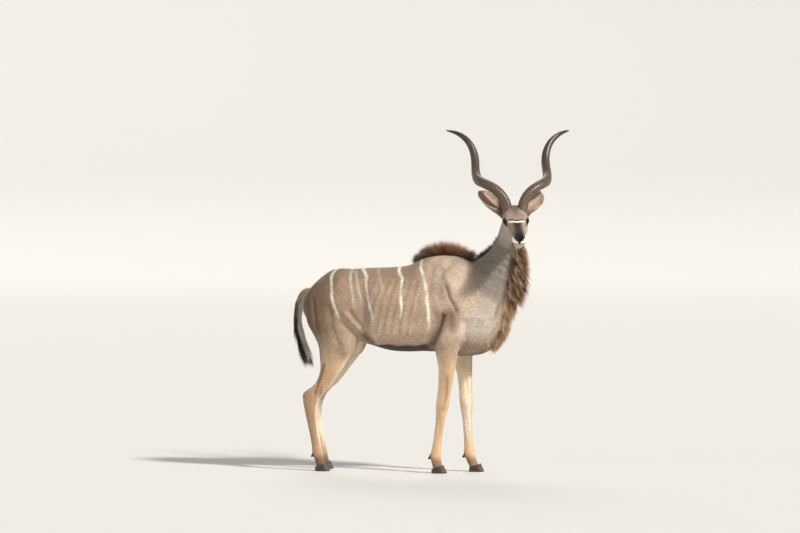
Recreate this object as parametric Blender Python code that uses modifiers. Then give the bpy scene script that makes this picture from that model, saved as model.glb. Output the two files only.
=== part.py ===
"""Greater kudu bull, life size, standing with its head turned to its right.

Metres, +Z up, +X the way the body faces, +Y the animal's left. The flesh is lofted from
a few stations along each part, fused, smoothed and then parted into named pieces by thin cuts.
"""

import math
import random
from collections import namedtuple

import bmesh
import bpy
import numpy as np
from mathutils import Matrix, Vector
from mathutils.bvhtree import BVHTree

# Driving dimensions
OUTLINE_CENTRE = Vector((0.128, 0.091, 0.0))  # middle of the outline on the floor
SEAM = 0.0003  # gap between pieces that meet
FLESH_VOXEL = 0.009  # grain of the fused flesh
HEAD_VOXEL = 0.005
TORSO_AND_NECK_FACES = 4100  # triangles after thinning
HEAD_FACES = 2250
FORELEG_FACES = 520
HINDLEG_FACES = 600
FORE_FOOT = 0.272  # the right fore foot along the body
HIND_FOOT = -0.478
LEG_SPREAD_FORE = 0.100  # half the distance between the fore hooves
LEG_SPREAD_HIND = 0.105
FAR_FORE_STEP = 0.186  # the left fore hoof stands this far ahead of the right one
FAR_HIND_STEP = -0.040
HEAD_PITCH = math.radians(26.0)  # face line below level
HEAD_TURN = math.radians(-70.2)  # from the way the body faces, to its right
HEAD_ROLL = math.radians(1.2)
POLL = Vector((0.736, -0.020, 1.655))  # top of the head between the horns
EYE_ALONG = 0.146  # from the poll towards the nose
EYE_OUT = 0.0560
EYE_DOWN = 0.036
EYE_RADIUS = 0.0215
EYE_LID = 0.0042  # thickness of the lids
EYE_OPENING = (0.0190, 0.0122)  # half the almond's length and height
EYE_DEPTH = 0.006  # the eye's flat back lies this far behind its centre
MOUTH_LEVEL = -0.062  # below the face line
MOUTH_CORNER = 0.318  # along the face
LIP_GAP = 0.0016  # half the height of the line of the mouth
NOSTRIL_RADII = (0.0120, 0.0052, 0.0100)
HORN_ALONG = 0.030
HORN_TURN_START = -206.0  # degrees round the horn's axis
HORN_TURN_END = 376.0
HORN_BASE_RADIUS = 0.031
EAR_LENGTH = 0.222
EAR_WALL = 0.005
CORONET = 0.058  # height of the hoof's upper edge at the front
CORONET_SLOPE = math.radians(20.0)
ROOT_DEPTH = 0.012  # how far a lock's root is sunk
CREST_FROM = 0.135  # along the withers
CREST_TO = 0.415
CREST_LOCKS = 22
NAPE_LOCKS = 8  # from the withers up
FRINGE_ROWS = 15  # from the throat down to the breast
FRINGE_LENGTH = 0.130
BREAST_ROWS = 4
TAIL_LOCKS = 14
TAIL_TIP = 0.640
SEED = 7

Material = namedtuple("Material", "hex roughness")

FINISHES = {
    "hide": Material("A48F7B", 0.85),
    "horn": Material("6B5B4C", 0.55),
    "hoof": Material("2E2823", 0.5),
    "eye": Material("0D0907", 0.08),
    "ear": Material("A08A78", 0.85),
}


def clear_scene():
    for obj in list(bpy.data.objects):
        bpy.data.objects.remove(obj, do_unlink=True)


def collection(name, hidden=False):
    made = bpy.data.collections.new(name)
    bpy.context.scene.collection.children.link(made)
    made.hide_render = hidden
    return made


def srgb_to_linear(text):
    values = [int(text[i : i + 2], 16) / 255 for i in (0, 2, 4)]
    return [v / 12.92 if v <= 0.04045 else ((v + 0.055) / 1.055) ** 2.4 for v in values]


def material_for(node, finish):
    """One Principled material of its own for each object."""
    look = FINISHES[finish]
    made = bpy.data.materials.new(f"{node}_{finish}")
    made.use_nodes = True
    shader = made.node_tree.nodes["Principled BSDF"]
    shader.inputs["Base Color"].default_value = (*srgb_to_linear(look.hex), 1.0)
    shader.inputs["Roughness"].default_value = look.roughness
    shader.inputs["Metallic"].default_value = 0.0
    return made


def object_from(bm, name, into):
    mesh = bpy.data.meshes.new(name)
    bm.to_mesh(mesh)
    bm.free()
    made = bpy.data.objects.new(name, mesh)
    into.objects.link(made)
    return made


def spread(rows, steps):
    """Rows of numbers, with steps - 1 rows filled in smoothly between each two."""
    rows = np.array(rows, float)
    padded = np.vstack([2 * rows[0] - rows[1], rows, 2 * rows[-1] - rows[-2]])
    filled = []
    for i in range(len(rows) - 1):
        a, b, c, d = padded[i : i + 4]
        for t in np.arange(steps) / steps:
            filled.append(
                b
                + 0.5 * t * (c - a + t * (2 * a - 5 * b + 4 * c - d + t * (3 * (b - c) + d - a)))
            )
    filled.append(rows[-1])
    return np.array(filled)


def signed_power(value, power):
    return math.copysign(abs(value) ** power, value)


def ring(centre, side, front, half, ahead, behind, square=2.0, count=20):
    """A closed ring of points: half across, ahead one way and behind the other."""
    points = []
    for k in range(count):
        angle = 2 * math.pi * k / count
        across = signed_power(math.cos(angle), 2 / square)
        along = signed_power(math.sin(angle), 2 / square)
        reach = ahead if along > 0 else behind
        points.append(centre + side * (half * across) + front * (reach * along))
    return points


def loft(rings):
    """A closed skin over rings of equal counts, as a bmesh with its faces outwards."""
    bm = bmesh.new()
    rows = [[bm.verts.new(p) for p in points] for points in rings]
    for a, b in zip(rows, rows[1:]):
        for k in range(len(a)):
            n = (k + 1) % len(a)
            bm.faces.new((a[k], a[n], b[n], b[k]))
    bm.faces.new(rows[0])
    bm.faces.new(rows[-1])
    bmesh.ops.recalc_face_normals(bm, faces=bm.faces)
    return bm


def apply_all(obj):
    """The object's mesh with its modifiers applied."""
    bpy.context.view_layer.update()
    graph = bpy.context.evaluated_depsgraph_get()
    mesh = bpy.data.meshes.new_from_object(obj.evaluated_get(graph))
    old = obj.data
    obj.modifiers.clear()
    obj.data = mesh
    bpy.data.meshes.remove(old)
    return obj


def add_modifier(obj, kind, **settings):
    made = obj.modifiers.new(kind.title(), kind)
    for key, value in settings.items():
        setattr(made, key, value)
    return made


def boolean(obj, other, operation, solver="EXACT"):
    add_modifier(obj, "BOOLEAN", operation=operation, object=other, solver=solver)
    apply_all(obj)
    bpy.data.objects.remove(other, do_unlink=True)
    return obj


def islands(bm):
    """The loose pieces of a bmesh, each a list of faces."""
    left = set(bm.faces)
    found = []
    while left:
        stack = [left.pop()]
        piece = []
        while stack:
            face = stack.pop()
            piece.append(face)
            linked = [edge.link_faces for edge in face.edges if len(edge.link_faces) == 2]
            for other in {f for faces in linked for f in faces} & left:
                left.remove(other)
                stack.append(other)
        found.append(piece)
    return found


def keep_largest(obj):
    """Only the largest closed surface stays."""
    bm = bmesh.new()
    bm.from_mesh(obj.data)
    bmesh.ops.triangulate(bm, faces=bm.faces, ngon_method="EAR_CLIP")
    pieces = islands(bm)
    spans = []
    for piece in pieces:
        places = np.array([v.co for f in piece for v in f.verts])
        spans.append(np.prod(np.ptp(places, axis=0)))
    keep = pieces[int(np.argmax(spans))]
    gone = [f for piece in pieces if piece is not keep for f in piece]
    bmesh.ops.delete(bm, geom=gone, context="FACES")
    bm.to_mesh(obj.data)
    bm.free()
    return obj


def cut_by_plane(obj, point, outward):
    """Removes what lies beyond the plane and closes the cut with a flat face."""
    bm = bmesh.new()
    bm.from_mesh(obj.data)
    cut = bmesh.ops.bisect_plane(
        bm,
        geom=bm.verts[:] + bm.edges[:] + bm.faces[:],
        dist=1e-7,
        plane_co=point,
        plane_no=outward,
        clear_outer=True,
    )["geom_cut"]
    rim = [g for g in cut if isinstance(g, bmesh.types.BMEdge)]
    if rim:
        bmesh.ops.triangle_fill(bm, edges=rim, use_beauty=True)
        bmesh.ops.recalc_face_normals(bm, faces=bm.faces)
    bm.to_mesh(obj.data)
    bm.free()
    return obj


def duplicate(obj, name, into):
    made = obj.copy()
    made.data = obj.data.copy()
    made.name = name
    into.objects.link(made)
    return made


def thin(obj, faces):
    """Brings a mesh down to about this number of triangles."""
    count = sum(len(p.vertices) - 2 for p in obj.data.polygons)
    if count > faces:
        add_modifier(obj, "DECIMATE", ratio=faces / count)
        apply_all(obj)
    return obj


# Trunk: sections across the body, from the buttocks to the breast
def trunk_rings():
    #   x, back, belly, half width, height of the widest place, squareness
    rows = [
        (-0.632, 1.090, 0.990, 0.040, 1.040, 2.0),
        (-0.592, 1.122, 0.925, 0.098, 1.030, 2.0),
        (-0.520, 1.194, 0.870, 0.155, 1.025, 2.0),
        (-0.420, 1.256, 0.835, 0.190, 1.020, 2.1),
        (-0.300, 1.258, 0.815, 0.198, 1.000, 2.1),
        (-0.190, 1.266, 0.783, 0.207, 0.990, 2.1),
        (-0.060, 1.270, 0.748, 0.216, 0.970, 2.1),
        (0.060, 1.284, 0.741, 0.215, 0.970, 2.0),
        (0.160, 1.330, 0.745, 0.204, 0.980, 1.9),
        (0.270, 1.350, 0.738, 0.192, 0.990, 1.8),
        (0.380, 1.342, 0.718, 0.182, 1.000, 1.8),
        (0.480, 1.300, 0.722, 0.164, 1.000, 1.9),
        (0.570, 1.220, 0.752, 0.138, 0.990, 2.0),
        (0.640, 1.130, 0.815, 0.100, 0.970, 2.0),
        (0.690, 1.040, 0.900, 0.045, 0.965, 2.0),
    ]
    rings = []
    for x, back, belly, half, widest, square in spread(rows, 3):
        centre = Vector((x, 0, widest))
        up, down = back - widest, widest - belly
        rings.append(ring(centre, Vector((0, 1, 0)), Vector((0, 0, 1)), half, up, down, square, 28))
    return rings


# Neck: its sections turn with the head
def neck_rings():
    #   x, y, z, lean of the axis, turn, half width, throat reach, nape reach
    rows = [
        (0.500, 0.000, 1.010, 48, 0, 0.150, 0.200, 0.260),
        (0.570, 0.000, 1.130, 44, 0, 0.138, 0.190, 0.215),
        (0.627, 0.000, 1.230, 38, -6, 0.116, 0.160, 0.160),
        (0.672, -0.002, 1.330, 27, -16, 0.098, 0.120, 0.112),
        (0.700, -0.006, 1.420, 15, -32, 0.084, 0.094, 0.090),
        (0.722, -0.010, 1.500, 8, -50, 0.078, 0.086, 0.084),
        (0.740, -0.012, 1.580, 2, -66, 0.072, 0.070, 0.070),
    ]
    rings = []
    for x, y, z, lean, turn, half, throat, nape in spread(rows, 4):
        lean, turn = math.radians(lean), math.radians(turn)
        side = Vector((-math.sin(turn), math.cos(turn), 0))
        level = Vector((math.cos(turn), math.sin(turn), 0))
        axis = Vector((math.sin(lean), 0, math.cos(lean)))
        front = level - axis * level.dot(axis)
        front.normalize()
        rings.append(ring(Vector((x, y, z)), side, front, half, throat, nape, 2.1, 24))
    return rings


def leg_rings(rows, step, side_of_body, lowest_step, full_step):
    """Level sections down a leg. Below full_step the leg is moved on by the whole step."""
    rings = []
    for x, y, z, half, ahead, behind in spread(rows, 3):
        share = min(1.0, max(0.0, (lowest_step - z) / (lowest_step - full_step)))
        centre = Vector((x + step * share, side_of_body * y, z))
        rings.append(ring(centre, Vector((0, 1, 0)), Vector((1, 0, 0)), half, ahead, behind, 2.2, 20))
    return rings


def foreleg_rings(side_of_body, step):
    #   x, y, z, half width, ahead, behind
    rows = [
        (0.380, 0.105, 1.120, 0.050, 0.070, 0.075),
        (0.385, 0.125, 1.000, 0.062, 0.105, 0.105),
        (0.365, 0.132, 0.880, 0.062, 0.100, 0.105),
        (0.342, 0.130, 0.800, 0.057, 0.082, 0.088),
        (0.337, 0.124, 0.724, 0.052, 0.070, 0.072),
        (0.334, 0.118, 0.655, 0.046, 0.058, 0.058),
        (0.325, 0.113, 0.560, 0.039, 0.046, 0.048),
        (0.312, 0.109, 0.480, 0.035, 0.042, 0.043),
        (0.303, 0.106, 0.425, 0.037, 0.042, 0.041),
        (0.296, 0.105, 0.375, 0.032, 0.035, 0.036),
        (0.286, 0.103, 0.310, 0.0235, 0.028, 0.029),
        (0.273, 0.101, 0.220, 0.0225, 0.026, 0.028),
        (0.263, 0.100, 0.150, 0.0245, 0.028, 0.030),
        (0.258, 0.100, 0.108, 0.0300, 0.033, 0.037),
        (0.262, 0.100, 0.075, 0.0280, 0.030, 0.032),
        (0.272, 0.100, 0.035, 0.0300, 0.030, 0.032),
    ]
    return leg_rings(rows, step, side_of_body, 0.85, 0.00)


def hindleg_rings(side_of_body, step):
    rows = [
        (-0.440, 0.085, 1.130, 0.060, 0.110, 0.110),
        (-0.430, 0.105, 1.030, 0.080, 0.165, 0.142),
        (-0.424, 0.118, 0.930, 0.078, 0.176, 0.146),
        (-0.386, 0.128, 0.840, 0.068, 0.154, 0.134),
        (-0.370, 0.130, 0.780, 0.062, 0.128, 0.122),
        (-0.384, 0.126, 0.705, 0.054, 0.098, 0.100),
        (-0.412, 0.120, 0.625, 0.044, 0.070, 0.072),
        (-0.455, 0.114, 0.545, 0.035, 0.056, 0.062),
        (-0.512, 0.111, 0.485, 0.034, 0.055, 0.080),
        (-0.535, 0.110, 0.440, 0.032, 0.050, 0.062),
        (-0.542, 0.109, 0.385, 0.027, 0.042, 0.046),
        (-0.536, 0.108, 0.320, 0.0235, 0.035, 0.037),
        (-0.523, 0.107, 0.240, 0.0225, 0.031, 0.032),
        (-0.508, 0.105, 0.160, 0.0245, 0.030, 0.032),
        (-0.499, 0.105, 0.110, 0.0300, 0.033, 0.037),
        (-0.490, 0.105, 0.075, 0.0280, 0.030, 0.032),
        (-0.478, 0.105, 0.035, 0.0300, 0.030, 0.032),
    ]
    return leg_rings(rows, step, side_of_body, 0.90, 0.45)


def head_axes():
    """Along the face to the nose, out to the head's left, and up off the face."""
    level = Vector((math.cos(HEAD_TURN), math.sin(HEAD_TURN), 0))
    along = level * math.cos(HEAD_PITCH) - Vector((0, 0, math.sin(HEAD_PITCH)))
    left = Vector((-math.sin(HEAD_TURN), math.cos(HEAD_TURN), 0))
    roll = Matrix.Rotation(HEAD_ROLL, 3, along)
    left = roll @ left
    return along, left, along.cross(left)


def head_point(along, out, up):
    a, left, n = head_axes()
    return POLL + a * along + left * out + n * up


def head_rings():
    #   along the face, face line, jaw line, half width, height of the widest place, squareness
    rows = [
        (-0.045, -0.030, -0.110, 0.035, -0.070, 2.0),
        (-0.025, -0.012, -0.135, 0.062, -0.070, 2.0),
        (0.010, 0.002, -0.150, 0.073, -0.062, 2.1),
        (0.060, 0.006, -0.174, 0.078, -0.058, 2.2),
        (0.110, 0.005, -0.188, 0.079, -0.052, 2.3),
        (0.150, 0.000, -0.183, 0.073, -0.050, 2.3),
        (0.190, -0.005, -0.163, 0.062, -0.056, 2.3),
        (0.240, -0.010, -0.137, 0.050, -0.060, 2.4),
        (0.290, -0.010, -0.118, 0.0425, -0.058, 2.5),
        (0.335, -0.007, -0.107, 0.0405, -0.054, 2.6),
        (0.368, -0.008, -0.101, 0.0410, -0.050, 2.7),
        (0.390, -0.016, -0.094, 0.0375, -0.050, 2.5),
        (0.404, -0.032, -0.080, 0.0240, -0.052, 2.0),
    ]
    a, left, n = head_axes()
    rings = []
    for along, face, jaw, half, widest, square in spread(rows, 4):
        centre = POLL + a * along + n * widest
        rings.append(ring(centre, left, n, half, face - widest, widest - jaw, square, 28))
    return rings


def ellipsoid(centre, radii, turn=None, subdivisions=3):
    bm = bmesh.new()
    bmesh.ops.create_icosphere(bm, subdivisions=subdivisions, radius=1.0)
    shape = Matrix.Diagonal((*radii, 1.0))
    if turn is not None:
        shape = turn.to_4x4() @ shape
    bmesh.ops.transform(bm, matrix=Matrix.Translation(centre) @ shape, verts=bm.verts)
    return bm


def head_turn():
    a, left, n = head_axes()
    return Matrix((a, left, n)).transposed()


def muscle_forms():
    """Masses under the skin that the lofts don't give."""
    made = []
    for side in (1, -1):
        shoulder = Matrix.Rotation(math.radians(18), 3, "Y")
        made.append(ellipsoid(Vector((0.335, side * 0.080, 1.080)), (0.120, 0.105, 0.225), shoulder))
        made.append(ellipsoid(Vector((0.400, side * 0.110, 0.930)), (0.090, 0.062, 0.120)))
        made.append(ellipsoid(Vector((-0.420, side * 0.085, 1.040)), (0.160, 0.100, 0.165)))
        made.append(ellipsoid(Vector((-0.300, side * 0.120, 0.905)), (0.075, 0.058, 0.110)))
    return made


def head_forms():
    """Brows, lids, cheeks, chin and the pads of the nose."""
    made = []
    turn = head_turn()
    for side in (1, -1):
        made.append(ellipsoid(eye_centre(side), (EYE_RADIUS + EYE_LID,) * 3))
        brow = head_point(EYE_ALONG - 0.014, side * (EYE_OUT - 0.012), -EYE_DOWN + 0.014)
        made.append(ellipsoid(brow, (0.042, 0.026, 0.020), turn))
        cheek = head_point(0.100, side * 0.052, -0.108)
        made.append(ellipsoid(cheek, (0.068, 0.024, 0.046), turn))
        nose = head_point(0.386, side * 0.0195, -0.031)
        made.append(ellipsoid(nose, (0.021, 0.019, 0.018), turn))
    made.append(ellipsoid(head_point(0.374, 0, -0.092), (0.026, 0.023, 0.015), turn))
    return made


def eye_centre(side):
    return head_point(EYE_ALONG, side * EYE_OUT, -EYE_DOWN)


def eye_axes(side):
    """The way the eye looks, and the long and short ways of its opening."""
    a, left, n = head_axes()
    looks = (left * (side * 0.78) + a * 0.55 + n * 0.20).normalized()
    long_way = (a - n * 0.30).normalized()
    long_way = (long_way - looks * looks.dot(long_way)).normalized()
    return looks, long_way, looks.cross(long_way)


def tail_rings():
    #   x, z, half width, half depth
    rows = [
        (-0.585, 1.118, 0.026, 0.030),
        (-0.632, 1.098, 0.028, 0.028),
        (-0.660, 1.040, 0.027, 0.026),
        (-0.664, 0.950, 0.030, 0.030),
        (-0.652, 0.860, 0.034, 0.036),
        (-0.628, 0.770, 0.036, 0.038),
        (-0.608, 0.700, 0.028, 0.028),
        (-0.596, 0.655, 0.008, 0.008),
    ]
    rings = []
    for x, z, half, depth in spread(rows, 3):
        centre = Vector((x, 0, z))
        rings.append(ring(centre, Vector((0, 1, 0)), Vector((1, 0, 0)), half, depth, depth, 2.0, 12))
    return rings


def fused(forms, voxel, smoothing, name, into):
    """Closed forms made one smooth closed surface."""
    whole = bmesh.new()
    for form in forms:
        mesh = bpy.data.meshes.new("form")
        form.to_mesh(mesh)
        form.free()
        whole.from_mesh(mesh)
        bpy.data.meshes.remove(mesh)
    body = object_from(whole, name, into)
    add_modifier(body, "REMESH", mode="VOXEL", voxel_size=voxel)
    apply_all(body)
    soft = body.vertex_groups.new(name="soft")
    for v in body.data.vertices:
        soft.add([v.index], softness(v.co), "REPLACE")
    add_modifier(body, "SMOOTH", factor=0.5, iterations=smoothing, vertex_group="soft")
    apply_all(body)
    body.vertex_groups.clear()
    return keep_largest(body)


def softness(place):
    """How much a place is smoothed: the joins of the trunk most, the lower legs and face least."""
    along = (place - POLL).dot(head_axes()[0])
    if along > 0.03 and place.z > 1.30:
        return 0.35
    return min(1.0, max(0.15, (place.z - 0.45) / 0.35))


def body_flesh(into):
    forms = [loft(trunk_rings()), loft(neck_rings()), loft(head_rings())]
    forms += [loft(foreleg_rings(-1, 0.0)), loft(foreleg_rings(1, FAR_FORE_STEP))]
    forms += [loft(hindleg_rings(-1, 0.0)), loft(hindleg_rings(1, FAR_HIND_STEP))]
    return fused(forms + muscle_forms(), FLESH_VOXEL, 26, "flesh", into)


def head_flesh(into):
    forms = [loft(neck_rings()), loft(head_rings())]
    return fused(forms + head_forms(), HEAD_VOXEL, 10, "head_flesh", into)


def surface_of(obj):
    """A tree that finds places on the object's surface."""
    bm = bmesh.new()
    bm.from_mesh(obj.data)
    tree = BVHTree.FromBMesh(bm)
    bm.free()
    return tree


def root_on(tree, middle, way):
    """The outermost place of the flesh in a direction from its middle, and the way inwards there."""
    place, normal, _, _ = tree.ray_cast(middle + way * 0.5, -way)
    return place, -normal


Lock = namedtuple("Lock", "length width thick")


def lock(root, inward, lie, flat, size, droop):
    """A flat tapered lock: its root is sunk, it leaves along lie and droop bends it on its way.

    flat is the way that the lock is thin.
    """
    rings = []
    here = root + inward * ROOT_DEPTH
    way = lie.normalized()
    #   width and thickness as shares of the lock's own, and the step to the next ring
    for wide, thick, step in ((0.80, 1.00, 0.30), (1.00, 0.90, 0.36), (0.66, 0.62, 0.34), (0.14, 0.22, 0.0)):
        across = way.cross(flat).normalized()
        thin_way = across.cross(way).normalized()
        half = across * (size.width * wide / 2)
        deep = thin_way * (size.thick * thick / 2)
        rings.append([here + half, here + deep, here - half, here - deep])
        here = here + way * (size.length * step + (ROOT_DEPTH if len(rings) == 1 else 0))
        way = (way + droop).normalized()
    return loft(rings)


def join_locks(obj, locks, into):
    """One union of the locks into the piece they grow from."""
    gathered = collection("locks", hidden=True)
    for k, form in enumerate(locks):
        object_from(form, f"lock_{k}", gathered)
    union = add_modifier(obj, "BOOLEAN", operation="UNION", solver="EXACT")
    union.operand_type = "COLLECTION"
    union.collection = gathered
    apply_all(obj)
    for form in list(gathered.objects):
        bpy.data.objects.remove(form, do_unlink=True)
    bpy.data.collections.remove(gathered)
    return keep_largest(obj)


def crest_locks(tree, draw):
    """The withers' mane: it fans from backwards over the back to forwards over the neck."""
    made = []
    for k in range(CREST_LOCKS):
        t = k / (CREST_LOCKS - 1)
        side = (-1) ** k
        middle = Vector((CREST_FROM + (CREST_TO - CREST_FROM) * t, side * 0.005, 1.05))
        root, inward = root_on(tree, middle, Vector((0, 0, 1)))
        lean = math.radians(np.interp(t, (0, 0.35, 0.65, 1), (-62, -32, 0, 28)) + draw.uniform(-7, 7))
        length = np.interp(t, (0, 0.15, 0.35, 0.5, 0.65, 1), (0.045, 0.080, 0.112, 0.120, 0.106, 0.080))
        lie = Vector((math.sin(lean), side * 0.05, math.cos(lean)))
        flat = Vector((draw.uniform(-0.25, 0.25), 1, 0)).normalized()
        droop = Vector((math.copysign(0.10, lean), 0, -0.05))
        size = Lock(length * draw.uniform(0.85, 1.0), 0.036, 0.013)
        made.append(lock(root, inward, lie, flat, size, droop))
    return made


def neck_places():
    """Centre, side and front of the neck's sections, from the trunk up."""
    places = []
    for points in neck_rings():
        centre = sum(points, Vector()) / len(points)
        side = (points[0] - points[len(points) // 2]).normalized()
        front = (points[len(points) // 4] - points[3 * len(points) // 4]).normalized()
        places.append((centre, side, front))
    return places


def nape_locks(tree, draw):
    made = []
    for centre, side, front in neck_places()[8 : 8 + NAPE_LOCKS]:
        sway = side * draw.uniform(-0.10, 0.10)
        root, inward = root_on(tree, centre, (sway - front).normalized())
        lie = Vector((0, 0, 0.12)) - inward
        size = Lock(draw.uniform(0.032, 0.046), 0.034, 0.011)
        made.append(lock(root, inward, lie, side, size, Vector((0, 0, 0.08))))
    return made


def fringe_locks(tree, draw):
    """The throat's fringe: long locks in three files, hanging forwards and down."""
    made = []
    places = neck_places()
    for k in range(FRINGE_ROWS):
        at = 7.2 + 8.2 * k / (FRINGE_ROWS - 1)
        low = int(at)
        centre, side, front = (a.lerp(b, at - low) for a, b in zip(places[low], places[low + 1]))
        for file in (-1, 0, 1):
            if file == 0 and k % 2:
                continue
            sway = side * (file * 0.24 + draw.uniform(-0.07, 0.07))
            root, inward = root_on(tree, centre, (front + sway).normalized())
            lie = Vector((0, 0, -1.0)) + side * (file * 0.14) - inward * 0.50
            flat = (side + front * draw.uniform(-0.35, 0.35)).normalized()
            length = FRINGE_LENGTH * np.interp(k / (FRINGE_ROWS - 1), (0, 0.4, 1), (0.85, 1.0, 0.62))
            size = Lock(length * draw.uniform(0.85, 1.05), 0.036, 0.012)
            droop = Vector((0, 0, -0.10)) - front * 0.05
            made.append(lock(root, inward, lie, flat, size, droop))
    return made


def breast_locks(tree, draw):
    """The fringe goes on over the breast to between the forelegs."""
    made = []
    middle = Vector((0.52, 0, 0.97))
    for k in range(BREAST_ROWS):
        t = k / (BREAST_ROWS - 1)
        aim = math.radians(12 - 72 * t)
        for file in (-1, 0, 1):
            way = Vector((math.cos(aim), file * 0.20 + draw.uniform(-0.04, 0.04), math.sin(aim)))
            root, inward = root_on(tree, middle, way.normalized())
            lie = Vector((0.05, 0, -1.0)) - inward * 0.35
            flat = Vector((draw.uniform(-0.4, 0.4), 1, 0)).normalized()
            size = Lock((0.110 - 0.055 * t) * draw.uniform(0.85, 1.05), 0.038, 0.012)
            made.append(lock(root, inward, lie, flat, size, Vector((-0.06, 0, -0.05))))
    return made


def tail_locks(tree, draw):
    """The tuft: locks round the lower half of the tail, down to a point."""
    made = []
    rows = tail_rings()
    for k in range(TAIL_LOCKS):
        points = rows[9 + k * (len(rows) - 13) // (TAIL_LOCKS - 1)]
        centre = sum(points, Vector()) / len(points)
        angle = k * math.radians(137.5)
        way = Vector((math.cos(angle) * 0.7, math.sin(angle), 0)).normalized()
        root, inward = root_on(tree, centre, way)
        lie = Vector((0.12, 0, -1.0)) - inward * 0.30
        size = Lock(min(centre.z - TAIL_TIP, draw.uniform(0.085, 0.120)), 0.030, 0.011)
        made.append(lock(root, inward, lie, inward, size, Vector((0.02, 0, -0.10)) + inward * 0.08))
    return made


Cut = namedtuple("Cut", "name planes faces")


def slanted(x, z, degrees):
    """A point and the direction square to a line that runs across the body's side view."""
    angle = math.radians(degrees)
    return Vector((x, 0, z)), Vector((math.cos(angle), 0, math.sin(angle)))


def limb_cuts():
    """Where the legs and the head leave the trunk and neck: the planes round each."""
    cuts = []
    for side, name in ((-1, "right"), (1, "left")):
        inner_fore = (Vector((0, side * 0.055, 0)), Vector((0, -side, 0)))
        inner_hind = (Vector((0, side * 0.035, 0)), Vector((0, -side, 0)))
        fore = [slanted(0.33, 0.81, 100), slanted(0.20, 0.80, 173), slanted(0.47, 0.80, 8), inner_fore]
        hind = [slanted(-0.43, 0.90, 76), slanted(-0.205, 0.80, 0), inner_hind]
        cuts.append(Cut(f"foreleg_{name}", fore, FORELEG_FACES))
        cuts.append(Cut(f"hindleg_{name}", hind, HINDLEG_FACES))
    a, _, n = head_axes()
    back_of_jaw = (-a * 0.92 - n * 0.39).normalized()
    head = [(POLL - a * 0.034, back_of_jaw), (POLL - n * 0.198, -n)]
    cuts.append(Cut("head", head, HEAD_FACES))
    return cuts


def cutter_for(cut, grow, into):
    """A solid with these planes, each moved out by grow."""
    bm = bmesh.new()
    bmesh.ops.create_cube(bm, size=6.0)
    solid = object_from(bm, "cutter", into)
    return cut_to_planes(solid, cut.planes, grow)


def cut_to_planes(obj, planes, grow):
    """Keeps what is inside all the planes."""
    for point, outward in planes:
        cut_by_plane(obj, point + outward * grow, outward)
    return obj


def part_body(into):
    """The named pieces of flesh, a seam's gap apart."""
    made = {}
    body = body_flesh(into)
    face = head_flesh(into)
    for cut in limb_cuts():
        source = face if cut.name == "head" else body
        piece = duplicate(source, cut.name, into)
        cut_to_planes(piece, cut.planes, 0.02)
        keep_largest(piece)
        thin(piece, cut.faces)
        cut_to_planes(piece, cut.planes, 0.0)
        made[cut.name] = keep_largest(piece)
    rest = duplicate(body, "rest", into)
    thin(rest, TORSO_AND_NECK_FACES)
    for cut in limb_cuts():
        boolean(rest, cutter_for(cut, SEAM, into), "DIFFERENCE")
    breast, neck_lean = Vector((0.600, 0, 1.18)), Vector((0.72, 0, 0.70)).normalized()
    neck = duplicate(rest, "neck", into)
    made["neck"] = keep_largest(cut_by_plane(neck, breast + neck_lean * SEAM, -neck_lean))
    cut_by_plane(rest, breast, neck_lean)
    rest.name = "torso"
    made["torso"] = keep_largest(rest)
    bpy.data.objects.remove(body, do_unlink=True)
    bpy.data.objects.remove(face, do_unlink=True)
    return made


def almond(side, margin, into):
    """A prism with an almond outline, from behind the eye's centre out through the lids."""
    looks, long_way, short_way = eye_axes(side)
    half_long, half_short = EYE_OPENING
    rings = []
    for reach in (margin - EYE_DEPTH, 0.040):
        widen = 1.0 + max(0.0, reach) * 5
        centre = eye_centre(side) + looks * reach
        half = half_short * widen - margin
        rings.append(ring(centre, long_way, short_way, half_long * widen - margin, half, half, 1.6, 18))
    return object_from(loft(rings), "almond", into)


def eyeball(side, name, into):
    """What shows of the eye: its front, a seam's gap inside the lids."""
    ball = object_from(ellipsoid(eye_centre(side), (EYE_RADIUS,) * 3), name, into)
    return keep_largest(boolean(ball, almond(side, 2 * SEAM, into), "INTERSECT"))


def mouth_cutter(tree, into):
    """A thin groove that follows the lips from one corner of the mouth round to the other."""
    a, left, n = head_axes()
    middle = head_point(0.350, 0, MOUTH_LEVEL)
    reach = math.degrees(math.atan2(0.042, MOUTH_CORNER - 0.350)) + 2
    rings = []
    count = 23
    for k in range(count):
        angle = math.radians(-reach + 2 * reach * k / (count - 1))
        way = a * math.cos(angle) + left * math.sin(angle)
        place, normal, _, _ = tree.ray_cast(middle, way)
        inward = (normal - n * normal.dot(n)).normalized()
        edge = abs(k - (count - 1) / 2) / ((count - 1) / 2)
        place = place - n * (0.006 * edge ** 2)
        deep = 0.0055 * (1.0 - 0.75 * edge ** 4)
        gap = LIP_GAP * (1.0 - 0.6 * edge ** 3)
        rings.append([
            place - inward * deep,
            place + n * gap,
            place + inward * 0.004 + n * gap * 1.6,
            place + inward * 0.004 - n * gap * 1.6,
            place - n * gap,
        ])
    return object_from(loft(rings), "cutter", into)


def nostril_cutter(side, into):
    place = head_point(0.4015, side * 0.0215, -0.032)
    lean = Matrix.Rotation(math.radians(side * 32), 3, "X") @ Matrix.Rotation(math.radians(side * 30), 3, "Z")
    turn = head_turn() @ lean
    return object_from(ellipsoid(place, NOSTRIL_RADII, turn, 2), "cutter", into)


def carve_head(head, into):
    """The eyes' openings, the nostrils and the line of the mouth."""
    tree = surface_of(head)
    for side in (1, -1):
        boolean(head, almond(side, 0.0, into), "DIFFERENCE")
        boolean(head, nostril_cutter(side, into), "DIFFERENCE")
    boolean(head, mouth_cutter(tree, into), "DIFFERENCE")
    return keep_largest(head)


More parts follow.
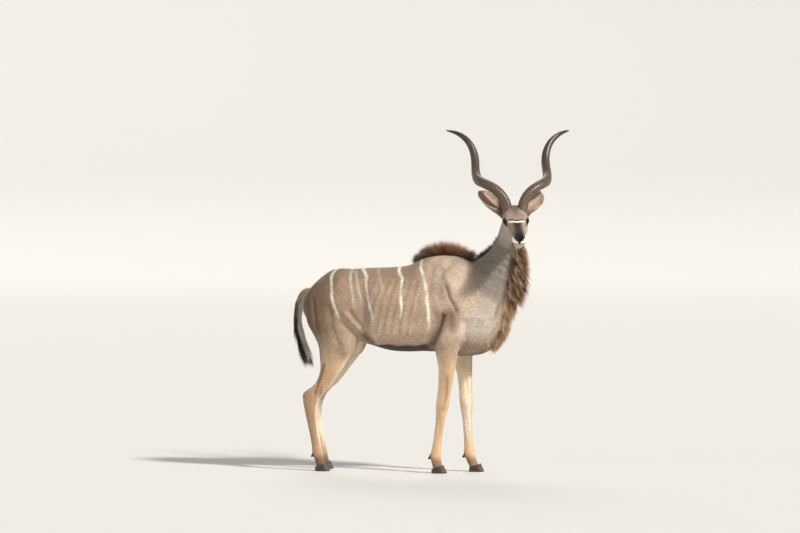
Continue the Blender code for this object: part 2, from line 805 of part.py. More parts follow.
def horn_path(t, side):
    """A coil round an axis that leans back and out. Right and left horns mirror each other."""
    start = Vector((0.105, -0.031, 0.008))  # out, back, up
    axis = Vector((0.227, 0.514, 0.492))
    unit = axis.normalized()
    first = (Vector((1, 0, 0)) - unit * unit.x).normalized()
    second = unit.cross(first)
    angle = math.radians(HORN_TURN_START + (HORN_TURN_END - HORN_TURN_START) * t)
    radius = 0.063 * (1 - t) ** 2 - 0.020 * t * (1 - t) + 0.058 * t * t
    out, back, up = start + axis * t + (first * math.cos(angle) + second * math.sin(angle)) * radius
    level = Vector((math.cos(HEAD_TURN), math.sin(HEAD_TURN), 0))
    left = Vector((-math.sin(HEAD_TURN), math.cos(HEAD_TURN), 0))
    root = head_point(HORN_ALONG, 0, -0.004)
    return root + left * (out * side) - level * back + Vector((0, 0, up))


def horn_rings(side, count, steps):
    """Round sections with a keel that winds with the coil."""
    rings = []
    for i in range(steps + 1):
        t = i / steps
        here = horn_path(t, side)
        tangent = (horn_path(t + 0.005, side) - horn_path(t - 0.005, side)).normalized()
        radius = HORN_BASE_RADIUS * (1 - t ** 3) ** 0.75 * (1 - 0.12 * t) + 0.0016
        if i == 0:
            keel = Vector((0, 0, 1))
        keel = (keel - tangent * keel.dot(tangent)).normalized()
        twist = math.radians(side * 430 * t)
        side_way = tangent.cross(keel)
        points = []
        for k in range(count):
            angle = 2 * math.pi * k / count
            ridge = 1 + 0.16 * max(0.0, math.cos(angle - twist)) ** 4
            points.append(here + (keel * math.cos(angle) + side_way * math.sin(angle)) * radius * ridge)
        rings.append(points)
    root = horn_path(0, side)
    sunk = (horn_path(0.01, side) - root).normalized() * -0.05
    rings.insert(0, [p + sunk for p in rings[0]])
    return rings


def ear(side, name, into):
    """A cupped leaf, rolled to a tube at its base and split alike on both faces."""
    # the right ear is turned up, so that its lower edge shows from the front
    out, back, up, lift = (0.128, 0.080, 0.132, 0.95) if side < 0 else (0.098, 0.130, 0.135, 0.15)
    level = Vector((math.cos(HEAD_TURN), math.sin(HEAD_TURN), 0))
    left = Vector((-math.sin(HEAD_TURN), math.cos(HEAD_TURN), 0))
    way = (left * (out * side) - level * back + Vector((0, 0, up))).normalized()
    facing = (level - left * (0.25 * side) + Vector((0, 0, lift))).normalized()
    facing = (facing - way * facing.dot(way)).normalized()
    across = way.cross(facing)
    root = head_point(0.022, side * 0.068, -0.056) - facing * 0.020
    #   share of the length, radius of the roll, half its angle in degrees
    shape = spread([
        (-0.08, 0.020, 160), (0.12, 0.028, 145), (0.30, 0.047, 104), (0.50, 0.064, 75),
        (0.72, 0.063, 59), (0.90, 0.047, 46), (1.0, 0.016, 25),
    ], 2)
    columns = 6
    bm = bmesh.new()
    grid = []
    for share, radius, roll in shape:
        line = []
        for j in range(columns + 1):
            angle = math.radians((2 * j / columns - 1) * roll)
            place = root + way * (EAR_LENGTH * share) + across * (radius * math.sin(angle))
            place += facing * (radius * (1 - math.cos(angle)) * 0.85 + 0.02 * share * share)
            line.append(bm.verts.new(place))
        grid.append(line)
    for a, b in zip(grid, grid[1:]):
        for j in range(columns):
            bm.faces.new((a[j], a[j + 1], b[j + 1]))
            bm.faces.new((a[j], b[j + 1], b[j]))
    bmesh.ops.recalc_face_normals(bm, faces=bm.faces)
    made = object_from(bm, name, into)
    add_modifier(made, "SOLIDIFY", thickness=EAR_WALL, offset=0.0)
    return apply_all(made)


def claw(foot, side_of_foot, name, into):
    """One half of a cloven hoof: flat sole, sloped front, closed at the coronet."""
    #   height, toe, heel, half width
    rows = [
        (0.000, 0.052, 0.034, 0.0170),
        (0.010, 0.048, 0.035, 0.0180),
        (0.040, 0.034, 0.033, 0.0165),
        (0.075, 0.020, 0.028, 0.0140),
    ]
    rings = []
    for z, toe, heel, half in rows:
        centre = Vector((foot.x, foot.y + side_of_foot * 0.0190, z))
        rings.append(ring(centre, Vector((0, 1, 0)), Vector((1, 0, 0)), half, toe, heel, 2.4, 14))
    made = object_from(loft(rings), name, into)
    return cut_by_plane(made, coronet_point(foot) - coronet_normal() * SEAM, coronet_normal())


def coronet_point(foot):
    return Vector((foot.x + 0.03, foot.y, CORONET - 0.008))


def coronet_normal():
    return Vector((-math.sin(CORONET_SLOPE), 0, math.cos(CORONET_SLOPE)))


def feet():
    return {
        "foreleg_right": Vector((FORE_FOOT, -LEG_SPREAD_FORE, 0)),
        "foreleg_left": Vector((FORE_FOOT + FAR_FORE_STEP, LEG_SPREAD_FORE, 0)),
        "hindleg_right": Vector((HIND_FOOT, -LEG_SPREAD_HIND, 0)),
        "hindleg_left": Vector((HIND_FOOT + FAR_HIND_STEP, LEG_SPREAD_HIND, 0)),
    }


def grown(obj, by, into):
    """A copy whose surface stands out by a seam's gap."""
    made = duplicate(obj, "grown", into)
    bm = bmesh.new()
    bm.from_mesh(made.data)
    bm.normal_update()
    moves = [v.normal * by for v in bm.verts]
    for v, move in zip(bm.verts, moves):
        v.co += move
    bm.to_mesh(made.data)
    bm.free()
    return made


def finish(made):
    for name, (obj, finish_name) in made.items():
        obj.name = name
        obj.data.name = name
        obj.data.transform(Matrix.Translation(-OUTLINE_CENTRE))
        obj.data.materials.clear()
        obj.data.materials.append(material_for(name, finish_name))
        obj.data.shade_smooth()
        obj.data.set_sharp_from_angle(angle=math.radians(50))


def dewclaws(foot, rear):
    """Two small points behind the fetlock."""
    made = []
    for side in (1, -1):
        bm = bmesh.new()
        bmesh.ops.create_cone(bm, cap_ends=True, segments=7, radius1=0.0115, radius2=0.004, depth=0.034)
        place = Vector((rear, foot.y + side * 0.014, 0.094))
        tilt = Matrix.Rotation(math.radians(-140), 4, "Y")
        bmesh.ops.transform(bm, matrix=Matrix.Translation(place) @ tilt, verts=bm.verts)
        made.append(bm)
    return made


def build():
    clear_scene()
    draw = random.Random(SEED)
    kudu = collection("greater_kudu")
    pieces = part_body(kudu)
    for name, foot in feet().items():
        cut_by_plane(pieces[name], coronet_point(foot), -coronet_normal())
        keep_largest(pieces[name])
        rear = foot.x - (0.050 if name.startswith("fore") else 0.058)
        join_locks(pieces[name], dewclaws(foot, rear), kudu)
    carve_head(pieces["head"], kudu)
    tail = object_from(loft(tail_rings()), "tail", kudu)
    boolean(tail, grown(pieces["torso"], 2 * SEAM, kudu), "DIFFERENCE")
    pieces["tail"] = keep_largest(tail)
    made = {}
    for side, word in ((-1, "right"), (1, "left")):
        made[f"eye_{word}"] = (eyeball(side, f"eye_{word}", kudu), "eye")
        horn = object_from(loft(horn_rings(side, 8, 26)), f"horn_{word}", kudu)
        boolean(horn, grown(pieces["head"], 2 * SEAM, kudu), "DIFFERENCE")
        made[f"horn_{word}"] = (keep_largest(horn), "horn")
        leaf = ear(side, f"ear_{word}", kudu)
        for neighbour, gap in ((pieces["head"], 2 * SEAM), (pieces["neck"], 2 * SEAM), (horn, 0.002)):
            boolean(leaf, grown(neighbour, gap, kudu), "DIFFERENCE")
        made[f"ear_{word}"] = (keep_largest(leaf), "ear")
    torso_tree = surface_of(pieces["torso"])
    neck_tree = surface_of(pieces["neck"])
    join_locks(pieces["torso"], crest_locks(torso_tree, draw) + breast_locks(torso_tree, draw), kudu)
    join_locks(pieces["neck"], fringe_locks(neck_tree, draw) + nape_locks(neck_tree, draw), kudu)
    join_locks(pieces["tail"], tail_locks(surface_of(pieces["tail"]), draw), kudu)
    made.update({name: (obj, "hide") for name, obj in pieces.items()})
    for name, foot in feet().items():
        for side, word in ((-1, "right"), (1, "left")):
            hoof = name.replace("leg", "hoof") + "_" + word
            made[hoof] = (claw(foot, side, hoof, kudu), "hoof")
    finish(made)


build()
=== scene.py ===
# %% [markdown]
# # A greater kudu bull, life size
# This file dresses a set of plain solids as a museum model of a kudu bull. Each piece made below
# rides on them, stands for some of them, and stays inside their outline.

# %% Open the solids
import math
import random
from functools import partial

import bmesh
import bpy
import numpy as np
from mathutils import Matrix, Vector


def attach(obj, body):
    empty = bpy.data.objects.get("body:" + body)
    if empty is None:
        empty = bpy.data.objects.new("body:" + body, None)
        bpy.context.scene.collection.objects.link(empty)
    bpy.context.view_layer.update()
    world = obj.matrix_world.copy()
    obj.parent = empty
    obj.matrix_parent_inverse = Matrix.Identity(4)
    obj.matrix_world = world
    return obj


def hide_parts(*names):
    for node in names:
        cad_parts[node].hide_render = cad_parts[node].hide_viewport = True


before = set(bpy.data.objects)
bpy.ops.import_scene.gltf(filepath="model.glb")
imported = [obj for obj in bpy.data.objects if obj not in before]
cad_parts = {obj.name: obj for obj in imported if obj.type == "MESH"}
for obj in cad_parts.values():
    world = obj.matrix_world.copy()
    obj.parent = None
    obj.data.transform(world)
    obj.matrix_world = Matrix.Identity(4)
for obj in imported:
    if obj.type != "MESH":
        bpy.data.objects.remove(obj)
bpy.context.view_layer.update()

# %% [markdown]
# Everything is worked out in the animal's own frame: X runs forwards along the body, Y to its
# left and Z up, with the middle of the trunk over X = 0. The solids have the middle of their
# outline at the origin instead, so each finished mesh is moved by the difference at the end.

# %% Places that the whole animal hangs on
OUTLINE_CENTRE = Vector((0.128, 0.091, 0.0))
FORE_FOOT = 0.272
HIND_FOOT = -0.478
LEG_SPREAD_FORE = 0.100
LEG_SPREAD_HIND = 0.105
FAR_FORE_STEP = 0.186
FAR_HIND_STEP = -0.040
HEAD_PITCH = math.radians(26.0)
HEAD_TURN = math.radians(-70.2)
HEAD_ROLL = math.radians(1.2)
POLL = Vector((0.736, -0.020, 1.655))
EYE_ALONG = 0.146
EYE_OUT = 0.0560
EYE_DOWN = 0.036
EYE_RADIUS = 0.0215
EYE_LID = 0.0042
EYE_OPENING = (0.0190, 0.0122)
MOUTH_CORNER = 0.318
MOUTH_LEVEL = -0.062
HORN_ALONG = 0.030
HORN_TURN_START = -206.0
HORN_TURN_END = 376.0
HORN_BASE_RADIUS = 0.031
HORN_LENGTH = 1.0  # roughly, along the coil
HORN_SUNK = -0.045  # share of the length that stands in the skull
CORONET = 0.058
CORONET_SLOPE = math.radians(20.0)
FORE_STEP_TOP = 0.85  # the far fore leg steps forwards more and more below this height
HIND_STEP_TOP = 0.90
HIND_STEP_FULL = 0.45  # the far hind leg stands at its full step from this height down
SEED = 11
FORWARD = Vector((1, 0, 0))
ACROSS = Vector((0, 1, 0))
UP = Vector((0, 0, 1))
DOWN = Vector((0, 0, -1))
SIDES = ((-1, "right"), (1, "left"))
HEAD_LEVEL = Vector((math.cos(HEAD_TURN), math.sin(HEAD_TURN), 0))
HEAD_LEFT = Vector((-math.sin(HEAD_TURN), math.cos(HEAD_TURN), 0))


def head_axes():
    """Along the face to the nose, out to the head's left, and up off the face."""
    along = HEAD_LEVEL * math.cos(HEAD_PITCH) - UP * math.sin(HEAD_PITCH)
    left = Matrix.Rotation(HEAD_ROLL, 3, along) @ HEAD_LEFT
    return along, left, along.cross(left)


def head_point(along, out, up):
    a, left, n = head_axes()
    return POLL + a * along + left * out + n * up


print("the nose is at", tuple(round(c, 3) for c in head_point(0.40, 0, -0.03)))

# %% [markdown]
# ## Helpers
# A piece is built as a bmesh, which is Blender's editable mesh, and then written to an object
# that sits at the origin. Colours are given as sRGB hex values, as a painter would note them, and
# turned to the linear values that a renderer adds up. Materials are nets of nodes, and the few
# links that come back in most of them get a function of their own.

# %% From a bmesh to a placed object
def add_object(name, data):
    made = bpy.data.objects.new(name, data)
    bpy.context.scene.collection.objects.link(made)
    return made


def object_from(bm, name):
    mesh = bpy.data.meshes.new(name)
    bm.to_mesh(mesh)
    bm.free()
    return add_object(name, mesh)


def everything(bm):
    return bm.verts[:] + bm.edges[:] + bm.faces[:]


def apply_modifiers(obj):
    bpy.context.view_layer.update()
    graph = bpy.context.evaluated_depsgraph_get()
    mesh = bpy.data.meshes.new_from_object(obj.evaluated_get(graph))
    old = obj.data
    obj.modifiers.clear()
    obj.data = mesh
    bpy.data.meshes.remove(old)
    return obj


def put_in_place(obj, material, replaces=()):
    obj.data.transform(Matrix.Translation(-OUTLINE_CENTRE))
    obj.data.materials.clear()
    obj.data.materials.append(material)
    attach(obj, "root")
    for node in replaces:
        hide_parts(node)
    print(f"{obj.name}: {sum(len(p.vertices) - 2 for p in obj.data.polygons)} triangles")
    return obj


def linear(text):
    values = np.array([int(text[i : i + 2], 16) / 255 for i in (0, 2, 4)])
    return np.where(values <= 0.04045, values / 12.92, ((values + 0.055) / 1.055) ** 2.4)


def add_node(material, kind, settings=None, values=None, links=None):
    """Adds one node. Values go to its sockets, and links name the socket that feeds each of them."""
    tree = material.node_tree
    node = tree.nodes.new(kind)
    for key, value in (settings or {}).items():
        setattr(node, key, value)
    for key, value in (values or {}).items():
        node.inputs[key].default_value = value
    for key, source in (links or {}).items():
        tree.links.new(source, node.inputs[key])
    return node


# %% Helpers for materials
def new_material(name, roughness, **settings):
    """A material and its shader. A setting names its socket, with _ for each blank."""
    made = bpy.data.materials.new(name)
    made.use_nodes = True
    shader = made.node_tree.nodes["Principled BSDF"]
    shader.inputs["Roughness"].default_value = roughness
    for key, value in settings.items():
        shader.inputs[key.replace("_", " ")].default_value = value
    return made, shader


def add_noise(made, vector, millimetres, detail, roughness):
    """A noise whose largest lumps are about this many millimetres wide."""
    values = {"Scale": 1000 / millimetres, "Detail": detail, "Roughness": roughness}
    return add_node(made, "ShaderNodeTexNoise", values=values, links={"Vector": vector}).outputs["Fac"]


def add_bump(made, shader, height, strength, millimetres):
    """Bump, as deep as the millimetres where the height goes from 0 to 1."""
    values = {"Strength": strength, "Distance": millimetres / 1000}
    bump = add_node(made, "ShaderNodeBump", values=values, links={"Height": height})
    made.node_tree.links.new(bump.outputs["Normal"], shader.inputs["Normal"])


def colour_from_coat(made, shader, grain=None, tones=()):
    """Takes the colour from the attribute coat. A grain, if any, turns it darker and lighter."""
    colour = add_node(made, "ShaderNodeAttribute", {"attribute_name": "coat"}).outputs["Color"]
    if grain is not None:
        values = dict(zip(("From Min", "From Max", "To Min", "To Max"), tones))
        tone = add_node(made, "ShaderNodeMapRange", values=values, links={"Value": grain}).outputs["Result"]
        scaled = add_node(made, "ShaderNodeVectorMath", {"operation": "SCALE"},
                          links={"Vector": colour, "Scale": tone})
        colour = scaled.outputs["Vector"]
    made.node_tree.links.new(colour, shader.inputs["Base Color"])


def mix_paints(made, shader, share, first, second):
    """Colour that goes from the first paint to the second as the share goes from 0 to 1."""
    ends = {6: (*linear(first), 1.0), 7: (*linear(second), 1.0)}  # the sockets A and B for colours
    paint = add_node(made, "ShaderNodeMix", {"data_type": "RGBA"}, ends, {"Factor": share})
    made.node_tree.links.new(paint.outputs[2], shader.inputs["Base Color"])


# %% [markdown]
# A loft is a skin pulled over a row of rings, as cloth is over the hoops of a wagon. Each ring
# here is a circle whose points are moved to where they belong, and the operator that bridges two
# loops fills in between. It suits limbs, necks and horns, whose sections are easy to name.

# %% Rings and lofts
def spread(rows, steps):
    """Rows of numbers, with steps - 1 rows filled in smoothly between each two."""
    rows = np.array(rows, float)
    padded = np.vstack([2 * rows[0] - rows[1], rows, 2 * rows[-1] - rows[-2]])
    filled = []
    for i in range(len(rows) - 1):
        a, b, c, d = padded[i : i + 4]
        for t in np.arange(steps) / steps:
            filled.append(b + 0.5 * t * (c - a + t * (2 * a - 5 * b + 4 * c - d + t * (3 * (b - c) + d - a))))
    filled.append(rows[-1])
    return np.array(filled)


def row_at(rows, share):
    """The row at this share of the way, worked out between its two neighbours."""
    at = share * (len(rows) - 1)
    low = min(int(at), len(rows) - 2)
    return rows[low] + (rows[low + 1] - rows[low]) * (at - low)


def ring(centre, side, front, half, ahead, behind, square=2.0, count=32):
    """Points of a rounded section: half across, ahead one way and behind the other."""
    points = []
    for k in range(count):
        angle = 2 * math.pi * k / count
        c, s = math.cos(angle), math.sin(angle)
        across = math.copysign(abs(c) ** (2 / square), c)
        along = math.copysign(abs(s) ** (2 / square), s)
        points.append(centre + side * (half * across) + front * ((ahead if along > 0 else behind) * along))
    return points


def loft(sections):
    bm = bmesh.new()
    loops = []
    for points in sections:
        circle = bmesh.ops.create_circle(bm, cap_ends=False, segments=len(points), radius=1.0)["verts"]
        for v, p in zip(circle, points):
            v.co = p
        loops.append(list({e for v in circle for e in v.link_edges}))
    for a, b in zip(loops, loops[1:]):
        bmesh.ops.bridge_loops(bm, edges=a + b)
    for end in (loops[0], loops[-1]):
        bmesh.ops.edgeloop_fill(bm, edges=end)
    bmesh.ops.recalc_face_normals(bm, faces=bm.faces)
    return bm


def ellipsoid(centre, radii, turn=None, subdivisions=4):
    bm = bmesh.new()
    bmesh.ops.create_icosphere(bm, subdivisions=subdivisions, radius=1.0)
    shape = Matrix.Diagonal((*radii, 1.0))
    if turn is not None:
        shape = turn.to_4x4() @ shape
    bmesh.ops.transform(bm, matrix=Matrix.Translation(centre) @ shape, verts=bm.verts)
    return bm


# %% [markdown]
# ## The body's sections
# A kudu bull is narrow and deep, with a humped withers, a long neck and thin legs. The rows below
# are sections along each part, in metres. They are the same ones that the solids were made from,
# so the skin lies where the solids are, and a finer skin only adds what the solids had no room for.

# %% Sections of the trunk and the neck
COAT_DEPTH = 0.003  # the skin lies this far inside the solids, and the hair fills the rest


def trunk_rings():
    #   x, back, belly, half width, height of the widest place, squareness
    rows = [
        (-0.632, 1.090, 0.990, 0.040, 1.040, 2.0),
        (-0.592, 1.122, 0.925, 0.098, 1.030, 2.0),
        (-0.520, 1.194, 0.870, 0.155, 1.025, 2.0),
        (-0.420, 1.256, 0.835, 0.190, 1.020, 2.1),
        (-0.300, 1.258, 0.815, 0.198, 1.000, 2.1),
        (-0.190, 1.266, 0.783, 0.207, 0.990, 2.1),
        (-0.060, 1.270, 0.748, 0.216, 0.970, 2.1),
        (0.060, 1.284, 0.741, 0.215, 0.970, 2.0),
        (0.160, 1.330, 0.745, 0.204, 0.980, 1.9),
        (0.270, 1.350, 0.738, 0.192, 0.990, 1.8),
        (0.380, 1.342, 0.718, 0.182, 1.000, 1.8),
        (0.480, 1.300, 0.722, 0.164, 1.000, 1.9),
        (0.570, 1.220, 0.752, 0.138, 0.990, 2.0),
        (0.640, 1.130, 0.815, 0.100, 0.970, 2.0),
        (0.690, 1.040, 0.900, 0.045, 0.965, 2.0),
    ]
    rings = []
    for x, back, belly, half, widest, square in spread(rows, 4):
        centre = Vector((x, 0, widest))
        rings.append(ring(centre, ACROSS, UP, half, back - widest, widest - belly, square, 40))
    return rings


def neck_sections():
    #   x, y, z, lean of the axis, turn, half width, throat reach, nape reach
    rows = [
        (0.500, 0.000, 1.010, 48, 0, 0.150, 0.200, 0.260),
        (0.570, 0.000, 1.130, 44, 0, 0.138, 0.190, 0.215),
        (0.627, 0.000, 1.230, 38, -6, 0.116, 0.160, 0.160),
        (0.672, -0.002, 1.330, 27, -16, 0.098, 0.120, 0.112),
        (0.700, -0.006, 1.420, 15, -32, 0.084, 0.094, 0.090),
        (0.722, -0.010, 1.500, 8, -50, 0.078, 0.086, 0.084),
        (0.740, -0.012, 1.580, 2, -66, 0.072, 0.070, 0.070),
    ]
    made = []
    for x, y, z, lean, turn, half, throat, nape in spread(rows, 5):
        lean, turn = math.radians(lean), math.radians(turn)
        side = Vector((-math.sin(turn), math.cos(turn), 0))
        level = Vector((math.cos(turn), math.sin(turn), 0))
        axis = Vector((math.sin(lean), 0, math.cos(lean)))
        front = (level - axis * level.dot(axis)).normalized()
        made.append((Vector((x, y, z)), side, front, half, throat, nape))
    return made


def neck_rings():
    return [ring(*section, 2.1, 36) for section in neck_sections()]


# %% Sections of the legs
def leg_rings(rows, step, side_of_body, step_top, step_full):
    rings = []
    for x, y, z, half, ahead, behind in spread(rows, 4):
        share = min(1.0, max(0.0, (step_top - z) / (step_top - step_full)))
        centre = Vector((x + step * share, side_of_body * y, z))
        rings.append(ring(centre, ACROSS, FORWARD, half, ahead, behind, 2.2, 28))
    return rings


def foreleg_rings(side_of_body, step):
    #   x, y, z, half width, ahead, behind
    rows = [
        (0.380, 0.105, 1.120, 0.050, 0.070, 0.075),
        (0.385, 0.125, 1.000, 0.062, 0.105, 0.105),
        (0.365, 0.132, 0.880, 0.062, 0.100, 0.105),
        (0.342, 0.130, 0.800, 0.057, 0.082, 0.088),
        (0.337, 0.124, 0.724, 0.052, 0.070, 0.072),
        (0.334, 0.118, 0.655, 0.046, 0.058, 0.058),
        (0.325, 0.113, 0.560, 0.039, 0.046, 0.048),
        (0.312, 0.109, 0.480, 0.035, 0.042, 0.043),
        (0.303, 0.106, 0.425, 0.037, 0.042, 0.041),
        (0.296, 0.105, 0.375, 0.032, 0.035, 0.036),
        (0.286, 0.103, 0.310, 0.0235, 0.028, 0.029),
        (0.273, 0.101, 0.220, 0.0225, 0.026, 0.028),
        (0.263, 0.100, 0.150, 0.0245, 0.028, 0.030),
        (0.258, 0.100, 0.108, 0.0300, 0.033, 0.037),
        (0.262, 0.100, 0.075, 0.0280, 0.030, 0.032),
        (0.272, 0.100, 0.035, 0.0300, 0.030, 0.032),
        (0.276, 0.100, 0.008, 0.0270, 0.026, 0.028),
    ]
    return leg_rings(rows, step, side_of_body, FORE_STEP_TOP, 0.0)


def hindleg_rings(side_of_body, step):
    rows = [
        (-0.440, 0.085, 1.130, 0.060, 0.110, 0.110),
        (-0.430, 0.105, 1.030, 0.080, 0.165, 0.142),
        (-0.424, 0.118, 0.930, 0.078, 0.176, 0.146),
        (-0.386, 0.128, 0.840, 0.068, 0.154, 0.134),
        (-0.370, 0.130, 0.780, 0.062, 0.128, 0.122),
        (-0.384, 0.126, 0.705, 0.054, 0.098, 0.100),
        (-0.412, 0.120, 0.625, 0.044, 0.070, 0.072),
        (-0.455, 0.114, 0.545, 0.035, 0.056, 0.062),
        (-0.512, 0.111, 0.485, 0.034, 0.055, 0.080),
        (-0.535, 0.110, 0.440, 0.032, 0.050, 0.062),
        (-0.542, 0.109, 0.385, 0.027, 0.042, 0.046),
        (-0.536, 0.108, 0.320, 0.0235, 0.035, 0.037),
        (-0.523, 0.107, 0.240, 0.0225, 0.031, 0.032),
        (-0.508, 0.105, 0.160, 0.0245, 0.030, 0.032),
        (-0.499, 0.105, 0.110, 0.0300, 0.033, 0.037),
        (-0.490, 0.105, 0.075, 0.0280, 0.030, 0.032),
        (-0.478, 0.105, 0.035, 0.0300, 0.030, 0.032),
        (-0.474, 0.105, 0.008, 0.0270, 0.026, 0.028),
    ]
    return leg_rings(rows, step, side_of_body, HIND_STEP_TOP, HIND_STEP_FULL)


# %% Sections of the head
def head_rings():
    #   along the face, face line, jaw line, half width, height of the widest place, squareness
    rows = [
        (-0.045, -0.030, -0.110, 0.035, -0.070, 2.0),
        (-0.025, -0.012, -0.135, 0.062, -0.070, 2.0),
        (0.010, 0.002, -0.150, 0.073, -0.062, 2.1),
        (0.060, 0.006, -0.174, 0.078, -0.058, 2.2),
        (0.110, 0.005, -0.188, 0.079, -0.052, 2.3),
        (0.150, 0.000, -0.183, 0.073, -0.050, 2.3),
        (0.190, -0.005, -0.163, 0.062, -0.056, 2.3),
        (0.240, -0.010, -0.137, 0.050, -0.060, 2.4),
        (0.290, -0.010, -0.118, 0.0425, -0.058, 2.5),
        (0.335, -0.007, -0.107, 0.0405, -0.054, 2.6),
        (0.368, -0.008, -0.101, 0.0410, -0.050, 2.7),
        (0.390, -0.016, -0.094, 0.0375, -0.050, 2.5),
        (0.404, -0.032, -0.080, 0.0240, -0.052, 2.0),
    ]
    a, left, n = head_axes()
    rings = []
    for along, face, jaw, half, widest, square in spread(rows, 5):
        centre = POLL + a * along + n * widest
        rings.append(ring(centre, left, n, half, face - widest, widest - jaw, square, 40))
    return rings


def head_turn():
    a, left, n = head_axes()
    return Matrix((a, left, n)).transposed()


def eye_centre(side):
    return head_point(EYE_ALONG, side * EYE_OUT, -EYE_DOWN)


def muscle_forms():
    made = []
    for side in (1, -1):
        shoulder = Matrix.Rotation(math.radians(18), 3, "Y")
        made.append(ellipsoid(Vector((0.335, side * 0.080, 1.080)), (0.120, 0.105, 0.225), shoulder))
        made.append(ellipsoid(Vector((0.400, side * 0.110, 0.930)), (0.090, 0.062, 0.120)))
        made.append(ellipsoid(Vector((-0.420, side * 0.085, 1.040)), (0.160, 0.100, 0.165)))
        made.append(ellipsoid(Vector((-0.300, side * 0.120, 0.905)), (0.075, 0.058, 0.110)))
    return made


def head_forms():
    """Brows, lids, cheeks, chin and the pads of the nose."""
    made = []
    turn = head_turn()
    for side in (1, -1):
        made.append(ellipsoid(eye_centre(side), (EYE_RADIUS + EYE_LID,) * 3))
        brow = head_point(EYE_ALONG - 0.014, side * (EYE_OUT - 0.012), -EYE_DOWN + 0.014)
        made.append(ellipsoid(brow, (0.042, 0.026, 0.020), turn))
        cheek = head_point(0.100, side * 0.052, -0.108)
        made.append(ellipsoid(cheek, (0.068, 0.024, 0.046), turn))
        nose = head_point(0.386, side * 0.0195, -0.031)
        made.append(ellipsoid(nose, (0.021, 0.019, 0.018), turn))
    made.append(ellipsoid(head_point(0.374, 0, -0.092), (0.026, 0.023, 0.015), turn))
    return made


# %% [markdown]
# ## One skin from many forms
# The lofts and the muscles under the skin overlap. A voxel remesh turns them into one closed
# surface, as if they were dipped in wax, and a smoothing that is strong on the trunk and weak on
# the thin legs melts the joins. The head gets a finer skin of its own, because lips and lids are
# small, and the two skins part across the upper neck, under hair.

# %% Fuse and smooth
SKIN_VOXEL = 0.0072
HEAD_VOXEL = 0.0034
SKIN_SMOOTHING = 34  # rounds of smoothing
HEAD_SMOOTHING = 18
NECK_PART = Vector((0.690, 0.0, 1.400))  # the two skins part here, square to the way below
NECK_WAY = Vector((0.30, 0.0, 0.954))
NECK_LAP = 0.004
HIDE_END = 0.022  # the legs' hide ends at this height, inside the claws


def softness(place):
    """Share of the smoothing that a place takes: little on the face and on the thin legs."""
    if (place - POLL).dot(head_axes()[0]) > 0.03 and place.z > 1.30:
        return 0.35
    return min(1.0, max(0.15, (place.z - 0.45) / 0.35))


def fused(forms, voxel, smoothing, name):
    whole = bmesh.new()
    for form in forms:
        mesh = bpy.data.meshes.new("form")
        form.to_mesh(mesh)
        form.free()
        whole.from_mesh(mesh)
        bpy.data.meshes.remove(mesh)
    body = object_from(whole, name)
    remesh = body.modifiers.new("Remesh", "REMESH")
    remesh.mode = "VOXEL"
    remesh.voxel_size = voxel
    apply_modifiers(body)
    soft = body.vertex_groups.new(name="soft")
    for v in body.data.vertices:
        soft.add([v.index], softness(v.co), "REPLACE")
    smooth = body.modifiers.new("Smooth", "SMOOTH")
    smooth.factor = 0.5
    smooth.iterations = smoothing
    smooth.vertex_group = "soft"
    apply_modifiers(body)
    body.vertex_groups.clear()
    return body


def cut_away(obj, point, outward):
    """Removes what lies beyond the plane. The edge stays open, because the other skin covers it."""
    bm = bmesh.new()
    bm.from_mesh(obj.data)
    bmesh.ops.bisect_plane(bm, geom=everything(bm), dist=1e-6, plane_co=point, plane_no=outward,
                           clear_outer=True)
    bm.to_mesh(obj.data)
    bm.free()


def body_forms():
    forms = [loft(trunk_rings()), loft(neck_rings()), loft(head_rings())]
    forms += [loft(foreleg_rings(-1, 0.0)), loft(foreleg_rings(1, FAR_FORE_STEP))]
    forms += [loft(hindleg_rings(-1, 0.0)), loft(hindleg_rings(1, FAR_HIND_STEP))]
    return forms + muscle_forms()


hide = fused(body_forms(), SKIN_VOXEL, SKIN_SMOOTHING, "hide_body")
face = fused([loft(neck_rings()), loft(head_rings())] + head_forms(), HEAD_VOXEL, HEAD_SMOOTHING, "hide_head")
print("skin:", len(hide.data.vertices), "places on the body and", len(face.data.vertices), "on the head")

# %% [markdown]
# ## Relief
# Under a short coat the bones and tendons show: the blade of the shoulder, ribs, the point of the
# hip, the fold of skin in front of the thigh, the tendon over the hock and the folds of a turned
# neck. Each is a line or a spot with a width and a height, and the skin is pushed along its own
# normal there. That is cheaper than sculpting, and every number can be read.

# %% Places, and how far they are from a line
def rows_of(collection, name):
    flat = np.empty(len(collection) * 3, np.float32)
    collection.foreach_get(name, flat)
    return flat.reshape(-1, 3).astype(float)


def coordinates(obj):
    return rows_of(obj.data.vertices, "co")


def outward_ways(obj):
    return rows_of(obj.data.vertex_normals, "vector")


def from_line(places, line):
    """Distance of each place to a broken line, in as many dimensions as the line has."""
    line = np.array(line, float)
    least = np.full(len(places), 1e9)
    for a, b in zip(line, line[1:]):
        way = b - a
        t = np.clip(((places - a) @ way) / max(way @ way, 1e-12), 0, 1)
        least = np.minimum(least, np.linalg.norm(places - a - t[:, None] * way, axis=1))
    return least


def near_line(places, line, width, edge=2):
    """1 on the line, fading over the width. A higher edge fades later and faster."""
    return np.exp(-((from_line(places, line) / width) ** edge))


def soft_step(x, low, high):
    t = np.clip((x - low) / (high - low), 0, 1)
    return t * t * (3 - 2 * t)


def in_head(places):
    a, left, n = head_axes()
    return (places - np.array(POLL)) @ np.array([a, left, n]).T


def on_one_side(seen):
    """Places in the head's own axes, with the right half laid over the left."""
    return np.stack([seen[:, 0], np.abs(seen[:, 1]), seen[:, 2]], axis=1)


def side_view(places):
    return places[:, [0, 2]]


